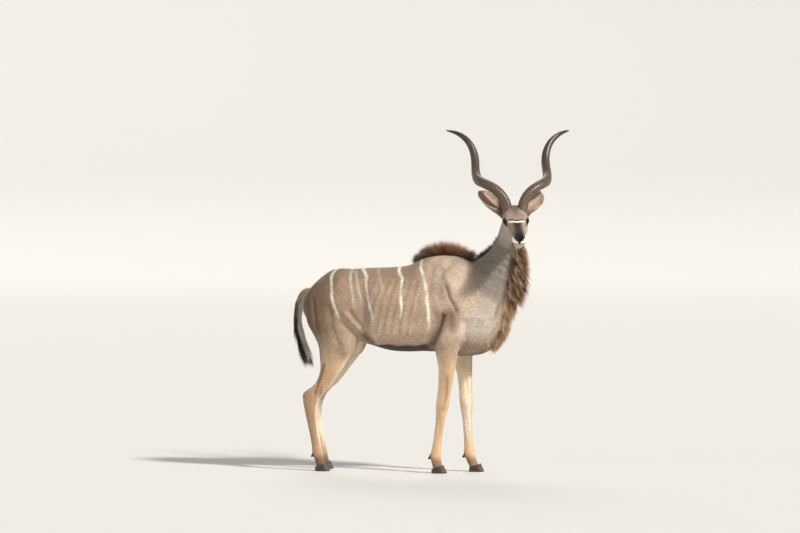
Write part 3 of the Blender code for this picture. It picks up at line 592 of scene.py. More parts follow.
def fore_step(places):
    """How far the far fore leg is ahead of the near one at this height, and 0 on the near one."""
    return FAR_FORE_STEP * (places[:, 1] > 0) * np.clip(1 - places[:, 2] / FORE_STEP_TOP, 0, 1)


def from_fore_foot(places):
    """The side view of each place, counted from the foot of its own fore leg."""
    return np.stack([places[:, 0] - (FORE_FOOT + fore_step(places)), places[:, 2]], axis=1)


def push_out(obj, relief):
    """Moves each vertex along its own normal by what relief() says."""
    places = coordinates(obj)
    places += outward_ways(obj) * relief(places)[:, None]
    obj.data.vertices.foreach_set("co", places.astype(np.float32).ravel())


# %% The relief of the body
BODY_RELIEF = [
    #   line in the side view (along, height), width, height, least distance from the middle
    ([(0.300, 1.300), (0.360, 1.180), (0.392, 1.080)], 0.020, 0.0050, 0.06),  # spine of the shoulder blade
    ([(0.235, 1.270), (0.232, 1.120), (0.262, 0.985)], 0.026, -0.0080, 0.06),  # behind the blade
    ([(0.345, 1.150), (0.366, 1.085), (0.410, 1.005)], 0.013, -0.0085, 0.06),  # between blade and arm
    ([(0.448, 1.035), (0.456, 0.985)], 0.044, 0.0080, 0.05),  # point of the shoulder
    ([(0.372, 0.985), (0.384, 0.880)], 0.026, -0.0060, 0.05),
    ([(0.328, 0.975), (0.298, 0.880), (0.250, 0.798)], 0.013, -0.0170, 0.05),  # behind the elbow
    ([(0.285, 0.960), (0.250, 0.850)], 0.040, -0.0090, 0.05),
    ([(0.318, 0.820), (0.322, 0.806)], 0.026, 0.0080, 0.05),  # elbow
    ([(0.462, 0.940), (0.452, 0.850)], 0.018, -0.0070, 0.05),
    ([(-0.362, 1.192), (-0.350, 1.180)], 0.034, 0.0110, 0.05),  # hip
    ([(-0.190, 1.145), (-0.175, 1.040), (-0.165, 0.920)], 0.036, -0.0130, 0.06),  # hollow of the flank
    ([(-0.300, 0.985), (-0.225, 0.900), (-0.165, 0.820)], 0.018, 0.0090, 0.05),  # fold before the thigh
    ([(-0.262, 0.985), (-0.190, 0.880), (-0.140, 0.815)], 0.018, -0.0090, 0.05),
    ([(-0.545, 1.080), (-0.540, 1.060)], 0.034, 0.0070, 0.03),  # pin bone
    ([(-0.515, 1.060), (-0.492, 0.930), (-0.462, 0.800)], 0.014, -0.0080, 0.05),  # between thigh muscles
    ([(-0.405, 1.020), (-0.385, 0.900), (-0.352, 0.800)], 0.018, -0.0060, 0.06),
    ([(-0.300, 0.790), (-0.304, 0.755)], 0.030, 0.0100, 0.05),  # kneecap
    ([(-0.445, 0.665), (-0.470, 0.600), (-0.494, 0.530), (-0.514, 0.482)], 0.0085, -0.0100, 0.02),
    ([(-0.470, 0.520), (-0.488, 0.450)], 0.0075, -0.0035, 0.02),
    ([(-0.180, 0.832), (0.000, 0.806), (0.200, 0.812)], 0.012, 0.0040, 0.05),  # edge of the belly
]
LEG_RELIEF = [
    #   line from the foot of the fore leg, width, height
    ([(0.072, 0.570), (0.062, 0.480), (0.052, 0.430)], 0.0070, -0.0045),
    ([(0.052, 0.425), (0.048, 0.405)], 0.018, 0.0030),
    ([(0.020, 0.330), (0.006, 0.200)], 0.0060, -0.0030),
]
NECK_FOLDS = [
    #   height, depth
    (1.235, 0.0025), (1.290, 0.0040), (1.340, 0.0050), (1.388, 0.0055), (1.430, 0.0040),
]
for k in range(7):  # the ribs, from the front
    rib = [(0.175 - 0.047 * k, 1.180), (0.143 - 0.049 * k, 1.020), (0.110 - 0.049 * k, 0.860)]
    BODY_RELIEF.append((rib, 0.0105, 0.0032, 0.08))


def relief_of_body(places):
    x, y, z = places.T
    push = np.zeros(len(places))
    for line, width, height, inner in BODY_RELIEF:
        push += height * near_line(side_view(places), line, width) * soft_step(np.abs(y), inner * 0.5, inner)
    slant = z + 0.45 * (x - 0.66)
    on_right = soft_step(-y, 0.01, 0.06) * (x > 0.52)
    for height, deep in NECK_FOLDS:
        push -= deep * np.exp(-(((slant - height) / 0.010) ** 2)) * on_right
    on_fore_leg = (x > 0.1) * (z < 0.62)
    for line, width, height in LEG_RELIEF:
        push += height * near_line(from_fore_foot(places), line, width) * on_fore_leg
    return push - COAT_DEPTH * soft_step(z, 0.25, 0.7)


push_out(hide, relief_of_body)

# %% The bones and pads of the face
HEAD_RELIEF = [
    #   line along the face, out and up, width, height
    ([(0.172, 0.062, -0.070), (0.235, 0.050, -0.066), (0.300, 0.042, -0.064)], 0.009, 0.0022),
    ([(0.172, 0.068, -0.046), (0.192, 0.060, -0.050), (0.208, 0.055, -0.052)], 0.0065, -0.0032),
    ([(0.120, 0.075, -0.160), (0.150, 0.070, -0.135), (0.160, 0.068, -0.100)], 0.011, -0.0028),
    ([(0.395, 0.000, -0.020), (0.404, 0.000, -0.040), (0.404, 0.000, -0.052)], 0.0035, -0.0022),
    ([(0.330, 0.020, -0.008), (0.372, 0.020, -0.012)], 0.008, 0.0012),
    ([(0.392, 0.030, -0.026), (0.398, 0.032, -0.036)], 0.0055, 0.0022),
    ([(0.345, 0.045, -0.048), (0.385, 0.040, -0.050)], 0.008, 0.0022),
    ([(0.110, 0.040, 0.000), (0.130, 0.034, 0.001)], 0.016, 0.0022),
    ([(0.230, 0.020, -0.008), (0.300, 0.016, -0.008)], 0.010, 0.0010),
]


def relief_of_head(places):
    seen = in_head(places)
    push = np.zeros(len(places))
    for line, width, height in HEAD_RELIEF:
        push += height * near_line(on_one_side(seen), line, width)
    below = 1 - soft_step((places - np.array(NECK_PART)) @ np.array(NECK_WAY), 0.03, 0.12)
    return push - COAT_DEPTH * np.maximum(below, 0.5 * soft_step(-seen[:, 0], -0.10, 0.05))


push_out(face, relief_of_head)

# %% [markdown]
# ## Lids, nostrils and mouth
# The eye opens in an almond between two lids. The opening, the nostrils and the line of the mouth
# are cut from the skin with Boolean modifiers, so that their edges are crisp where a smoothed
# surface would be mushy.

# %% Cut the openings of the face
def eye_axes(side):
    """The way the eye looks, and the long and short ways of its opening."""
    a, left, n = head_axes()
    looks = (left * (side * 0.78) + a * 0.55 + n * 0.20).normalized()
    long_way = (a - n * 0.30).normalized()
    long_way = (long_way - looks * looks.dot(long_way)).normalized()
    return looks, long_way, looks.cross(long_way)


def almond_ring(side, reach, widen, count=40):
    looks, long_way, short_way = eye_axes(side)
    half_long, half_short = EYE_OPENING
    centre = eye_centre(side) + looks * reach
    half = half_short * widen
    return ring(centre, long_way, short_way, half_long * widen, half, half, 1.6, count)


def nostril_form(side):
    lean = Matrix.Rotation(math.radians(side * 32), 3, "X") @ Matrix.Rotation(math.radians(side * 30), 3, "Z")
    centre = head_point(0.4015, side * 0.0215, -0.032)
    return ellipsoid(centre, (0.0120, 0.0048, 0.0098), head_turn() @ lean, 3)


def mouth_form(skin):
    """A thin groove that follows the lips from one corner of the mouth round to the other."""
    a, left, n = head_axes()
    middle = head_point(0.350, 0, MOUTH_LEVEL)
    reach = math.degrees(math.atan2(0.042, MOUTH_CORNER - 0.350)) + 2
    sections = []
    count = 41
    for k in range(count):
        angle = math.radians(-reach + 2 * reach * k / (count - 1))
        place, normal = skin.ray_cast(middle, a * math.cos(angle) + left * math.sin(angle))[1:3]
        outer = (normal - n * normal.dot(n)).normalized()
        edge = abs(k - (count - 1) / 2) / ((count - 1) / 2)
        place = place - n * (0.006 * edge ** 2)
        deep = 0.0058 * (1.0 - 0.75 * edge ** 4)
        gap = 0.0015 * (1.0 - 0.6 * edge ** 3)
        sections.append([place - outer * deep, place + n * gap, place + outer * 0.004 + n * gap * 1.8,
                         place + outer * 0.004 - n * gap * 1.8, place - n * gap])
    return loft(sections)


def cut_from(obj, cutter_mesh):
    cutter = object_from(cutter_mesh, "cutter")
    cut = obj.modifiers.new("Cut", "BOOLEAN")
    cut.operation = "DIFFERENCE"
    cut.solver = "EXACT"
    cut.object = cutter
    apply_modifiers(obj)
    bpy.data.objects.remove(cutter, do_unlink=True)


bpy.context.view_layer.update()
mouth = mouth_form(face)
for side in (1, -1):
    cut_from(face, loft([almond_ring(side, 0.004, 0.86), almond_ring(side, 0.040, 1.24)]))
    cut_from(face, nostril_form(side))
cut_from(face, mouth)
print("the face after its cuts:", len(face.data.vertices), "places")

# %% [markdown]
# The two skins part in a plane across the upper neck. The head's skin reaches a little further
# down than the body's reaches up, and both follow the same sections there.

# %% Part the skins
cut_away(hide, NECK_PART + NECK_WAY * NECK_LAP, NECK_WAY)
cut_away(face, NECK_PART - NECK_WAY * NECK_LAP, -NECK_WAY)
cut_away(hide, UP * HIDE_END, DOWN)

# %% [markdown]
# ## The markings
# The ground colour is a grey-brown that turns greyer on the neck and more tan down the legs. Thin
# white stripes hang from the back over the flank, a white bar crosses the nose bridge below the
# eyes, and the lip is white at its sides. The hocks and the backs of the forelegs are paler. Shade
# is painted in too: dark under the belly and chest, in creases and grooves and on the backs of the
# thighs. One function gives the colour of any place, so that skin and hair carry the same pattern,
# and the colour is kept in a colour attribute on the mesh.

# %% Stripes as lines in the side view
STRIPES = [
    #   (along, height) from the back down, half width, strength
    ([(-0.397, 1.262), (-0.408, 1.210), (-0.397, 1.148), (-0.384, 1.085), (-0.368, 1.035),
      (-0.341, 0.971), (-0.316, 0.925)], 0.0085, 0.80),
    ([(-0.300, 1.262), (-0.262, 1.138), (-0.239, 1.044), (-0.225, 0.981)], 0.0070, 0.45),
    ([(-0.262, 1.240), (-0.225, 1.166), (-0.196, 1.071), (-0.187, 1.009)], 0.0060, 0.38),
    ([(-0.231, 1.268), (-0.175, 1.205), (-0.150, 1.068), (-0.135, 1.017), (-0.122, 0.973),
      (-0.126, 0.880)], 0.0080, 0.80),
    ([(-0.129, 1.273), (-0.062, 1.153), (-0.040, 1.059)], 0.0060, 0.25),
    ([(0.005, 1.275), (0.051, 1.206), (0.071, 1.020), (0.058, 0.928)], 0.0085, 0.95),
    ([(0.148, 1.320), (0.187, 1.226), (0.212, 1.133), (0.232, 1.039), (0.239, 0.945),
      (0.219, 0.853)], 0.0075, 0.75),
]
CREASE_SHADE = [
    #     colour, line in the side view, width, strength: painted shade where the skin lies in a hollow
    ("belly", [(0.330, 0.975), (0.298, 0.880), (0.245, 0.795)], 0.026, 0.62),
    ("bridge", [(0.372, 0.985), (0.380, 0.900)], 0.034, 0.40),
    ("bridge", [(0.345, 1.150), (0.366, 1.085), (0.410, 1.005)], 0.021, 0.26),
    ("bridge", [(-0.190, 1.120), (-0.170, 0.930)], 0.034, 0.26),
    ("dark", [(-0.175, 0.840), (-0.150, 0.795)], 0.034, 0.70),
]
PALETTE = {name: linear(text) for name, text in {
    "back": "8A735E", "flank": "A48D78", "low": "BFA893", "shoulder": "BCA793", "neck": "837970",
    "rump": "654E3D", "chest": "C8BAAC", "leg": "CAA782", "inner": "E2D3BC", "belly": "2E2018",
    "stripe": "F2ECE0", "face": "958374", "cheek": "B0A294", "bridge": "1C110A", "forehead": "5F4838",
    "white": "F5F1EA", "nose": "13100E", "rim": "100C0A", "chin": "C4B09A", "dark": "2A2019",
    "mouth": "1C1310", "iris": "150C07", "lid": "1A1411", "lash": "120D0A",
    "ear": "9B8773", "ear skin": "B49A87", "ear hair": "E2D6C4", "horn base": "665443", "horn tip": "29211C",
    "mane root": "281C14", "mane tip": "B08255", "mane end": "8F745B", "nape root": "2C2019",
    "nape tip": "76593F", "brown": "3F2415", "cream": "DDBF98", "gold": "965A33",
    "tail stem": "86705C", "tail white": "E6DDCE", "tail brown": "6F5743", "tail tip": "17110E",
}.items()}


def blend(colours, name, share):
    """Mixes a colour of the palette into the rows by their share, from 0 to 1."""
    share = np.clip(share, 0, 1)[:, None]
    return colours * (1 - share) + PALETTE[name] * share


def wave(places, length, seed):
    """A slow, smooth wander between -1 and 1, as a coat's tone varies from place to place."""
    draw = np.random.default_rng(seed)
    total = np.zeros(len(places))
    for k in range(5):
        way = draw.normal(size=3)
        way *= 2 * math.pi / (length * (0.6 + 0.25 * k)) / np.linalg.norm(way)
        total += np.sin(places @ way + draw.uniform(0, 6.28)) / 2.4
    return np.clip(total, -1, 1)


# %% The colour of any place on the trunk and legs
def up_the_neck(x, z):
    """Metres past the line where the neck starts, from the withers down to the breast."""
    return 0.72 * (x - 0.600) + 0.70 * (z - 1.180)


def colour_of_trunk(shade, places, wander):
    x, y, z = places.T
    shade = blend(shade, "flank", soft_step(-(z + 0.02 * wander), -1.27, -1.10))
    low = soft_step(-(z + 0.02 * wander), -0.98, -0.86) * soft_step(x, -0.25, -0.12)
    shade = blend(shade, "low", low * 0.95)
    shade = blend(shade, "rump", soft_step(-x, 0.26, 0.48) * soft_step(z, 0.74, 0.92) * 0.85)
    shoulder = soft_step(x + 0.02 * wander, 0.10, 0.34) * soft_step(z, 0.95, 1.10)
    shade = blend(shade, "shoulder", shoulder * 0.9)
    chest = soft_step(x - 0.6 * (z - 0.95), 0.38, 0.54) * soft_step(-z, -1.20, -1.02)
    shade = blend(shade, "chest", chest * 0.85)
    neck = soft_step(up_the_neck(x, z) + 0.03 * wander, -0.12, 0.01)
    shade = blend(shade, "neck", neck * soft_step(z + 0.04 * wander, 0.94, 1.16) * 0.95)
    shift = np.where(y > 0, 0.012, 0.0)  # the two sides of an animal are never quite the same
    side = np.stack([x + shift + 0.004 * wander, z], axis=1)
    breaks = 0.86 + 0.14 * wave(places, 0.05, 7)
    for line, width, strength in STRIPES:
        fade = soft_step(z, line[-1][1] - 0.01, line[-1][1] + 0.10)
        on_stripe = near_line(side, line, width, 4) * (np.abs(y) > 0.004)
        shade = blend(shade, "stripe", strength * breaks * fade * on_stripe)
    return shade


def colour_of_legs(shade, places, outward):
    x, y, z = places.T
    hind = x < -0.10
    shade = blend(shade, "flank", soft_step(-z, -0.90, -0.78) * (~hind) * 0.9)
    shade = blend(shade, "leg", soft_step(-z, -0.80, -0.58) * 0.95)
    shade = blend(shade, "rump", soft_step(-z, -0.66, -0.40) * hind * 0.38)
    facing_in = -np.sign(y) * outward[:, 1]
    inner = soft_step(facing_in, 0.10, 0.70) * soft_step(z, 0.10, 0.30) * (1 - soft_step(z, 0.84, 0.95))
    shade = blend(shade, "inner", inner * np.where(hind, 0.90, 0.75))
    lower = soft_step(z, 0.10, 0.22) * (1 - soft_step(z, 0.66, 0.78))
    shade = blend(shade, "inner", soft_step(-outward[:, 0], 0.05, 0.70) * (~hind) * lower * 0.70)
    shade = blend(shade, "inner", soft_step(outward[:, 0], 0.35, 0.90) * hind * lower * 0.75)
    # painted shade along the groove of the forearm
    streak = near_line(from_fore_foot(places), [(0.074, 0.600), (0.062, 0.480), (0.046, 0.400)], 0.010)
    shade = blend(shade, "bridge", streak * (~hind) * (facing_in < 0.3) * 0.38)
    step = np.clip((HIND_STEP_TOP - z) / (HIND_STEP_TOP - HIND_STEP_FULL), 0, 1)
    side = np.stack([x - FAR_HIND_STEP * (y > 0) * step, z], axis=1)
    # painted shade in the hollow between the tendon and the shin, and in a groove lower on the hock
    hollow = near_line(side, [(-0.448, 0.660), (-0.472, 0.590), (-0.510, 0.485)], 0.013)
    shade = blend(shade, "dark", hollow * 0.38)
    hollow = near_line(side, [(-0.468, 0.520), (-0.492, 0.440)], 0.011)
    shade = blend(shade, "dark", hollow * (outward[:, 0] > -0.2) * 0.28)
    shade = blend(shade, "dark", soft_step(-z, -0.115, -0.065) * 0.60)
    behind = soft_step(-outward[:, 0], 0.5, 0.95) * hind * soft_step(-z, -0.42, -0.30)
    return blend(shade, "bridge", behind * 0.30)


def colour_of_body(places, outward):
    x, y, z = places.T
    out = np.abs(y)
    wander = wave(places, 0.16, 3)
    shade = np.tile(PALETTE["back"], (len(places), 1))
    shade = colour_of_trunk(shade, places, wander)
    shade = colour_of_legs(shade, places, outward)
    # painted shade: the underside below the wavy edge of the belly is made dark, off the thighs
    band = 0.797 + 0.006 * wave(places, 0.06, 21)
    belly = soft_step(band - z, -0.004, 0.014) * soft_step(x, -0.30, -0.20) * soft_step(-x, -0.25, -0.19)
    off_thigh = 1 - soft_step(out, 0.10, 0.15) * soft_step(-x, 0.16, 0.22)
    shade = blend(shade, "belly", belly * (z > 0.66) * off_thigh * 0.95)
    # painted shade: skin under the chest that faces downwards is darkened
    under = (z < 0.80) * (z > 0.66) * (x > 0.20) * (x < 0.56) * (out < 0.10)
    shade = blend(shade, "belly", soft_step(-outward[:, 2], 0.70, 0.95) * under * 0.60)
    # painted shade in the creases: full on the right side, weaker on the left
    near_side = np.where(y < 0, 1.0, 0.35) * soft_step(out, 0.07, 0.10)
    for name, line, width, strength in CREASE_SHADE:
        shade = blend(shade, name, near_line(side_view(places), line, width) * near_side * strength)
    mane = np.exp(-((y / 0.022) ** 2)) * soft_step(z, 1.24, 1.30) * soft_step(x, 0.10, 0.16)
    shade = blend(shade, "belly", mane * 0.80)
    # the back of the thighs: pale coat near the middle, painted shade further out
    rear = soft_step(-outward[:, 0], 0.45, 0.90) * (x < -0.44) * soft_step(z, 0.55, 0.72)
    shade = blend(shade, "inner", rear * soft_step(0.09 - out, 0.0, 0.05) * 0.65)
    shade = blend(shade, "dark", rear * soft_step(out, 0.08, 0.14) * 0.45)
    grain = 0.07 * wander + 0.06 * wave(places, 0.035, 5)
    grain += 0.05 * wave(places, 0.012, 6) * soft_step(z, 1.05, 1.2)
    return shade * (1 + grain)[:, None]


# %% The colour of any place on the head
def colour_of_muzzle(shade, u, v, w):
    """Black pad between the nostrils, a white patch at each side of the lip, and a pale chin."""
    side = np.abs(v)
    pad = np.interp(w, (-0.062, -0.050, -0.032, -0.020, -0.008), (0.004, 0.0085, 0.026, 0.027, 0.021))
    white = soft_step(u, 0.350, 0.366) * soft_step(w, -0.0625, -0.0600) * soft_step(-w, 0.024, 0.032)
    shade = blend(shade, "white", white * soft_step(0.047 - side, 0, 0.004))
    front = soft_step(u, 0.372, 0.380)
    shade = blend(shade, "nose", soft_step(pad - side, -0.0012, 0.0012) * front)
    jaw = soft_step(-w, 0.062, 0.066) * soft_step(u, 0.300, 0.340)
    shade = blend(shade, "chin", jaw * 0.85)
    curve = MOUTH_LEVEL - 0.006 * np.clip((0.40 - u) / 0.08, 0, 1) ** 2
    on_curve = 1 - soft_step(np.abs(w - curve), 0.0014, 0.0030)
    return blend(shade, "mouth", on_curve * (u > MOUTH_CORNER - 0.004))


def colour_round_eyes(shade, places):
    for side in (1, -1):
        looks, long_way, short_way = (np.array(d) for d in eye_axes(side))
        from_eye = places - np.array(eye_centre(side))
        inner_corner = 0.35 * np.clip(from_eye @ long_way / EYE_OPENING[0], 0, 1)
        along = np.abs(from_eye @ long_way) / (EYE_OPENING[0] * (1.20 + 1.4 * inner_corner))
        across = np.abs(from_eye @ short_way) / (EYE_OPENING[1] * 1.15)
        almond = along ** 1.6 + across ** 1.6
        in_opening = from_eye @ np.stack([long_way, short_way], axis=1)
        near = (from_eye @ looks > 0.0) & (np.linalg.norm(from_eye, axis=1) < 0.050)
        shade = blend(shade, "rim", (1 - soft_step(almond, 1.20, 1.90)) * near)
        tear = near_line(in_opening, [(0.010, 0.0), (0.034, 0.0)], 0.0078)
        shade = blend(shade, "rim", tear * near * 0.92)
        shade = blend(shade, "chin", np.exp(-(((almond - 2.7) / 0.55) ** 2)) * near * 0.30)
    return shade


def colour_of_face(places, outward):
    u, v, w = in_head(places).T
    mirrored = on_one_side(in_head(places))
    shade = np.tile(PALETTE["face"], (len(places), 1))
    shade = blend(shade, "cheek", soft_step(-w, 0.035, 0.075) * soft_step(u, 0.02, 0.10) * 0.8)
    tuft = np.exp(-((v / (0.022 + 0.08 * np.clip(0.12 - u, 0, 1))) ** 2)) * soft_step(-u, -0.19, -0.08)
    shade = blend(shade, "forehead", tuft * (w > -0.05) * 0.85)
    bridge = np.exp(-((v / (0.029 + 0.006 * soft_step(u, 0.28, 0.36))) ** 4)) * soft_step(u, 0.205, 0.230)
    shade = blend(shade, "bridge", bridge * soft_step(w, -0.045, -0.020) * 0.97)
    bar = [(0.172, 0.054, -0.036), (0.197, 0.038, -0.014), (0.218, 0.0, -0.006)]
    above = [(u0 - 0.016, v0, w0) for u0, v0, w0 in bar]
    shade = blend(shade, "bridge", near_line(mirrored, above, 0.0095) * 0.85)
    shade = blend(shade, "white", near_line(mirrored, bar, 0.0066, 4))
    under_eye = near_line(mirrored, [(0.180, 0.068, -0.052), (0.215, 0.056, -0.062)], 0.014)
    shade = blend(shade, "chin", under_eye * 0.40)
    for spot, size in (((0.198, 0.058, -0.088), 0.0080), ((0.236, 0.048, -0.094), 0.0065)):
        shade = blend(shade, "white", 0.28 * np.exp(-((np.linalg.norm(mirrored - spot, axis=1) / size) ** 2)))
    shade = blend(shade, "chin", soft_step(-outward[:, 2], 0.45, 0.85) * soft_step(u, 0.10, 0.20) * 0.55)
    shade = colour_of_muzzle(shade, u, v, w)
    return colour_round_eyes(shade, places)


def before_jaw_line(places):
    """Metres before the line from the poll behind the jaw to the throat, negative behind it."""
    u, w = in_head(places)[:, [0, 2]].T
    return np.minimum(u + 0.02 + 0.50 * w, w + 0.155 + 0.45 * (u - 0.06))


def share_of_face(places):
    return soft_step(before_jaw_line(places), -0.030, 0.020)


def colour_of_head(places, outward):
    """The face's colours, which go over to those of the neck behind the jaw."""
    grain = 0.06 * wave(places, 0.07, 13) + 0.05 * wave(places, 0.016, 15)
    on_face = share_of_face(places)[:, None]
    face_colour = colour_of_face(places, outward) * (1 + grain)[:, None]
    return face_colour * on_face + colour_of_body(places, outward) * (1 - on_face)


def keep_colours(obj, colours):
    made = obj.data.color_attributes.new("coat", "FLOAT_COLOR", "POINT")
    rows = np.ones((len(colours), 4), np.float32)
    rows[:, :3] = np.clip(colours, 0, 1)
    made.data.foreach_set("color", rows.ravel())


def on_lower_legs(places):
    return soft_step(-places[:, 2], -0.78, -0.50)


for skin, colour, fine in ((hide, colour_of_body, on_lower_legs), (face, colour_of_head, share_of_face)):
    keep_colours(skin, colour(coordinates(skin), outward_ways(skin)))
    fineness = skin.data.attributes.new("fineness", "FLOAT", "POINT")
    fineness.data.foreach_set("value", fine(coordinates(skin)).astype(np.float32))
    skin.data.shade_smooth()
face.data.set_sharp_from_angle(angle=math.radians(55))

# %% [markdown]
# ## Hide
# Real hide under a short coat is matt: hair scatters light, and only its tips catch a dull sheen.
# The material takes its colour from the attribute, breaks it with a noise as wide as a bundle of
# hairs, and lifts the same noise as bump, stretched along the hairs. The bundles are finer on the
# face and the legs, so a second attribute mixes a finer noise in there.

# %% The material of the hide
def hide_material(name, hair_mm, fine_mm, roughness, bump_mm):
    """Animal hide with its short coat on. The attribute fineness turns the grain from coarse to fine."""
    made, shader = new_material(name, roughness, Specular_IOR_Level=0.22, Sheen_Weight=0.10,
                                Sheen_Roughness=0.5)
    place = add_node(made, "ShaderNodeTexCoord").outputs["Object"]
    stretched = add_node(made, "ShaderNodeMapping", values={"Scale": (0.40, 1.0, 0.55)},
                         links={"Vector": place}).outputs["Vector"]
    coarse, fine = (add_noise(made, stretched, 3 * mm, 5.0, 0.75) for mm in (hair_mm, fine_mm))
    fineness = add_node(made, "ShaderNodeAttribute", {"attribute_name": "fineness"}).outputs["Fac"]
    grain = add_node(made, "ShaderNodeMix", {"data_type": "FLOAT"},
                     links={"Factor": fineness, "A": coarse, "B": fine}).outputs[0]
    colour_from_coat(made, shader, grain, (0.36, 0.64, 0.79, 1.18))
    add_bump(made, shader, grain, 0.6, bump_mm)
    return made


short_hide = hide_material("kudu hide with short coat", hair_mm=2.6, fine_mm=1.5, roughness=0.85, bump_mm=1.2)

# %% [markdown]
# ## Hair
# A tuft is one small tapered blade, made once with mesh operators: a cone with three sides, cut
# across so that it can bend. Thousands of copies are then laid along the coat. Each is placed by
# arithmetic on its points: the root sits in the skin, the blade leaves along the lie of the hair
# and curves back to the body. Real mesh is used because hair particles are lost on export.

# %% One blade, and how copies of it are laid
def blade(cuts):
    """Points and triangles of a three-sided blade along Z from 0 to 1, cut across so it can bend."""
    bm = bmesh.new()
    bmesh.ops.create_cone(bm, cap_ends=True, segments=3, radius1=1.0, radius2=0.0, depth=1.0)
    bmesh.ops.translate(bm, verts=bm.verts, vec=(0, 0, 0.5))
    for k in range(cuts):
        height = (k + 1) / (cuts + 1)
        bmesh.ops.bisect_plane(bm, geom=everything(bm), dist=1e-6, plane_co=UP * height, plane_no=UP)
    bmesh.ops.triangulate(bm, faces=bm.faces)
    points = np.array([v.co for v in bm.verts])
    scale = np.maximum(1 - points[:, 2], 1e-6)
    points[:, :2] = np.where(points[:, 2:] < 0.999, points[:, :2] / scale[:, None], 0)
    faces = np.array([[v.index for v in f.verts] for f in bm.faces])
    bm.free()
    return points, faces


def unit(rows):
    return rows / np.maximum(np.linalg.norm(rows, axis=1), 1e-9)[:, None]


def lay_blades(name, shape, roots, outward, lies, lengths, widths, colours, tips, unwrap,
               lift, sunk, flat, curl=0.0, sag=None, like_skin=0.0):
    """Copies of the blade: each leaves its root along its lie, lifted off the skin, and bends.

    It bends back to the skin by curl, or else by sag. like_skin turns the shading normals towards
    the skin's, so that short hair catches the light as the coat does.
    """
    points, faces = shape
    count = len(roots)
    way = unit(lies + outward * lift)
    bend = -outward * curl * lift if sag is None else sag
    side = unit(np.cross(outward, way))
    up = unit(np.cross(way, side))
    s = points[:, 2]
    taper = (1 - s ** 1.6) * (0.75 + 0.5 * s)
    share = s[None, :, None]
    lengths, widths = lengths[:, None, None], widths[:, None, None]
    path = roots[:, None] + way[:, None] * lengths * share + bend[:, None] * lengths * share ** 2
    path = path - outward[:, None] * sunk * (1 - share)
    across = side[:, None] * (points[:, 0] * taper)[None, :, None] * widths / 2
    thick = up[:, None] * (points[:, 1] * taper)[None, :, None] * widths / 2 * flat
    co = (path + across + thick).reshape(-1, 3)
    tri = (faces[None] + (np.arange(count) * len(points))[:, None, None]).reshape(-1, 3)
    mesh = bpy.data.meshes.new(name)
    mesh.vertices.add(len(co))
    mesh.vertices.foreach_set("co", co.astype(np.float32).ravel())
    mesh.loops.add(len(tri) * 3)
    mesh.loops.foreach_set("vertex_index", tri.astype(np.int32).ravel())
    mesh.polygons.add(len(tri))
    mesh.polygons.foreach_set("loop_start", np.arange(0, len(tri) * 3, 3, dtype=np.int32))
    mesh.update(calc_edges=True)
    patch = unwrap(roots)[:, None] + (points[:, :2] * 0.0010 + np.stack([s, s], axis=1) * 0.0005)[None]
    uv = mesh.uv_layers.new(name="OFBake")
    uv.data.foreach_set("uv", patch.reshape(-1, 2)[tri.ravel()].astype(np.float32).ravel())
    made = add_object(name, mesh)
    keep_colours(made, (colours[:, None] * (1 - share) + tips[:, None] * share).reshape(-1, 3))
    mesh.shade_smooth()
    if like_skin > 0:
        own = outward_ways(made)
        skin = np.repeat(outward, len(points), axis=0)
        mesh.normals_split_custom_set_from_vertices(unit(own * (1 - like_skin) + skin * like_skin).tolist())
    return made


# %% Roots spread evenly over a skin
def scatter(obj, count, seed, wanted):
    """Places on the skin with their normals, spread by area where wanted() gives a share above 0."""
    mesh = obj.data
    mesh.calc_loop_triangles()
    tri = np.empty(len(mesh.loop_triangles) * 3, np.int32)
    mesh.loop_triangles.foreach_get("vertices", tri)
    tri = tri.reshape(-1, 3)
    co, normal = coordinates(obj), outward_ways(obj)
    corner = co[tri]
    middle = corner.mean(axis=1)
    twice_area = np.cross(corner[:, 1] - corner[:, 0], corner[:, 2] - corner[:, 0])
    share = np.linalg.norm(twice_area, axis=1) * wanted(middle, unit(twice_area))
    draw = np.random.default_rng(seed)
    ladder = np.cumsum(share) / share.sum()
    chosen = np.searchsorted(ladder, (np.arange(count) + draw.uniform(0, 1, count)) / count)
    chosen = np.clip(chosen, 0, len(tri) - 1)
    a, b = draw.uniform(0, 1, (2, count))
    flip = a + b > 1
    a, b = np.where(flip, 1 - a, a), np.where(flip, 1 - b, b)
    weights = np.stack([1 - a - b, a, b], axis=1)[:, :, None]
    roots = (co[tri[chosen]] * weights).sum(axis=1)
    return roots, unit((normal[tri[chosen]] * weights).sum(axis=1)), draw


# %% [markdown]
# The hair of a kudu lies from the nose back over the head, down the neck, back along the trunk and
# down the legs. The lie is a direction for every place, laid flat on the skin there.

# %% The lie of the coat
def laid_flat(way, outward):
    """The way without its part that points off the skin, one unit long."""
    return unit(way - outward * (way * outward).sum(axis=1)[:, None])


def lie_of_body(places, outward):
    x, z = side_view(places).T
    down = soft_step(-z, -0.92, -0.70)[:, None]
    neck = soft_step(up_the_neck(x, z), -0.10, 0.06)[:, None]
    way = np.array([-1.0, 0, -0.35]) * (1 - down) + np.array([-0.10, 0, -1.0]) * down
    way = way * (1 - neck) + np.array([-0.35, 0, -1.0]) * neck
    return laid_flat(way, outward)


def lie_of_head(places, outward):
    a, left, n = (np.array(d) for d in head_axes())
    u, v = in_head(places)[:, :2].T
    way = left * (np.sign(v) * 0.25)[:, None] - a - n * 0.15
    back = soft_step(-u, -0.02, 0.06)[:, None]
    way = way * (1 - back) + np.array([-0.2, 0, -1.0]) * back
    return laid_flat(way, outward)


def unwrap_trunk(places):
    """The skin of the trunk and neck rolled out: along it, and round it."""
    round_it = np.arctan2(places[:, 1], places[:, 2] - 1.0) / (2 * math.pi) + 0.5
    along = (places[:, 0] + 0.70) / 1.55
    return np.stack([0.01 + 0.98 * np.clip(along, 0, 1), 0.01 + 0.98 * round_it], axis=1)


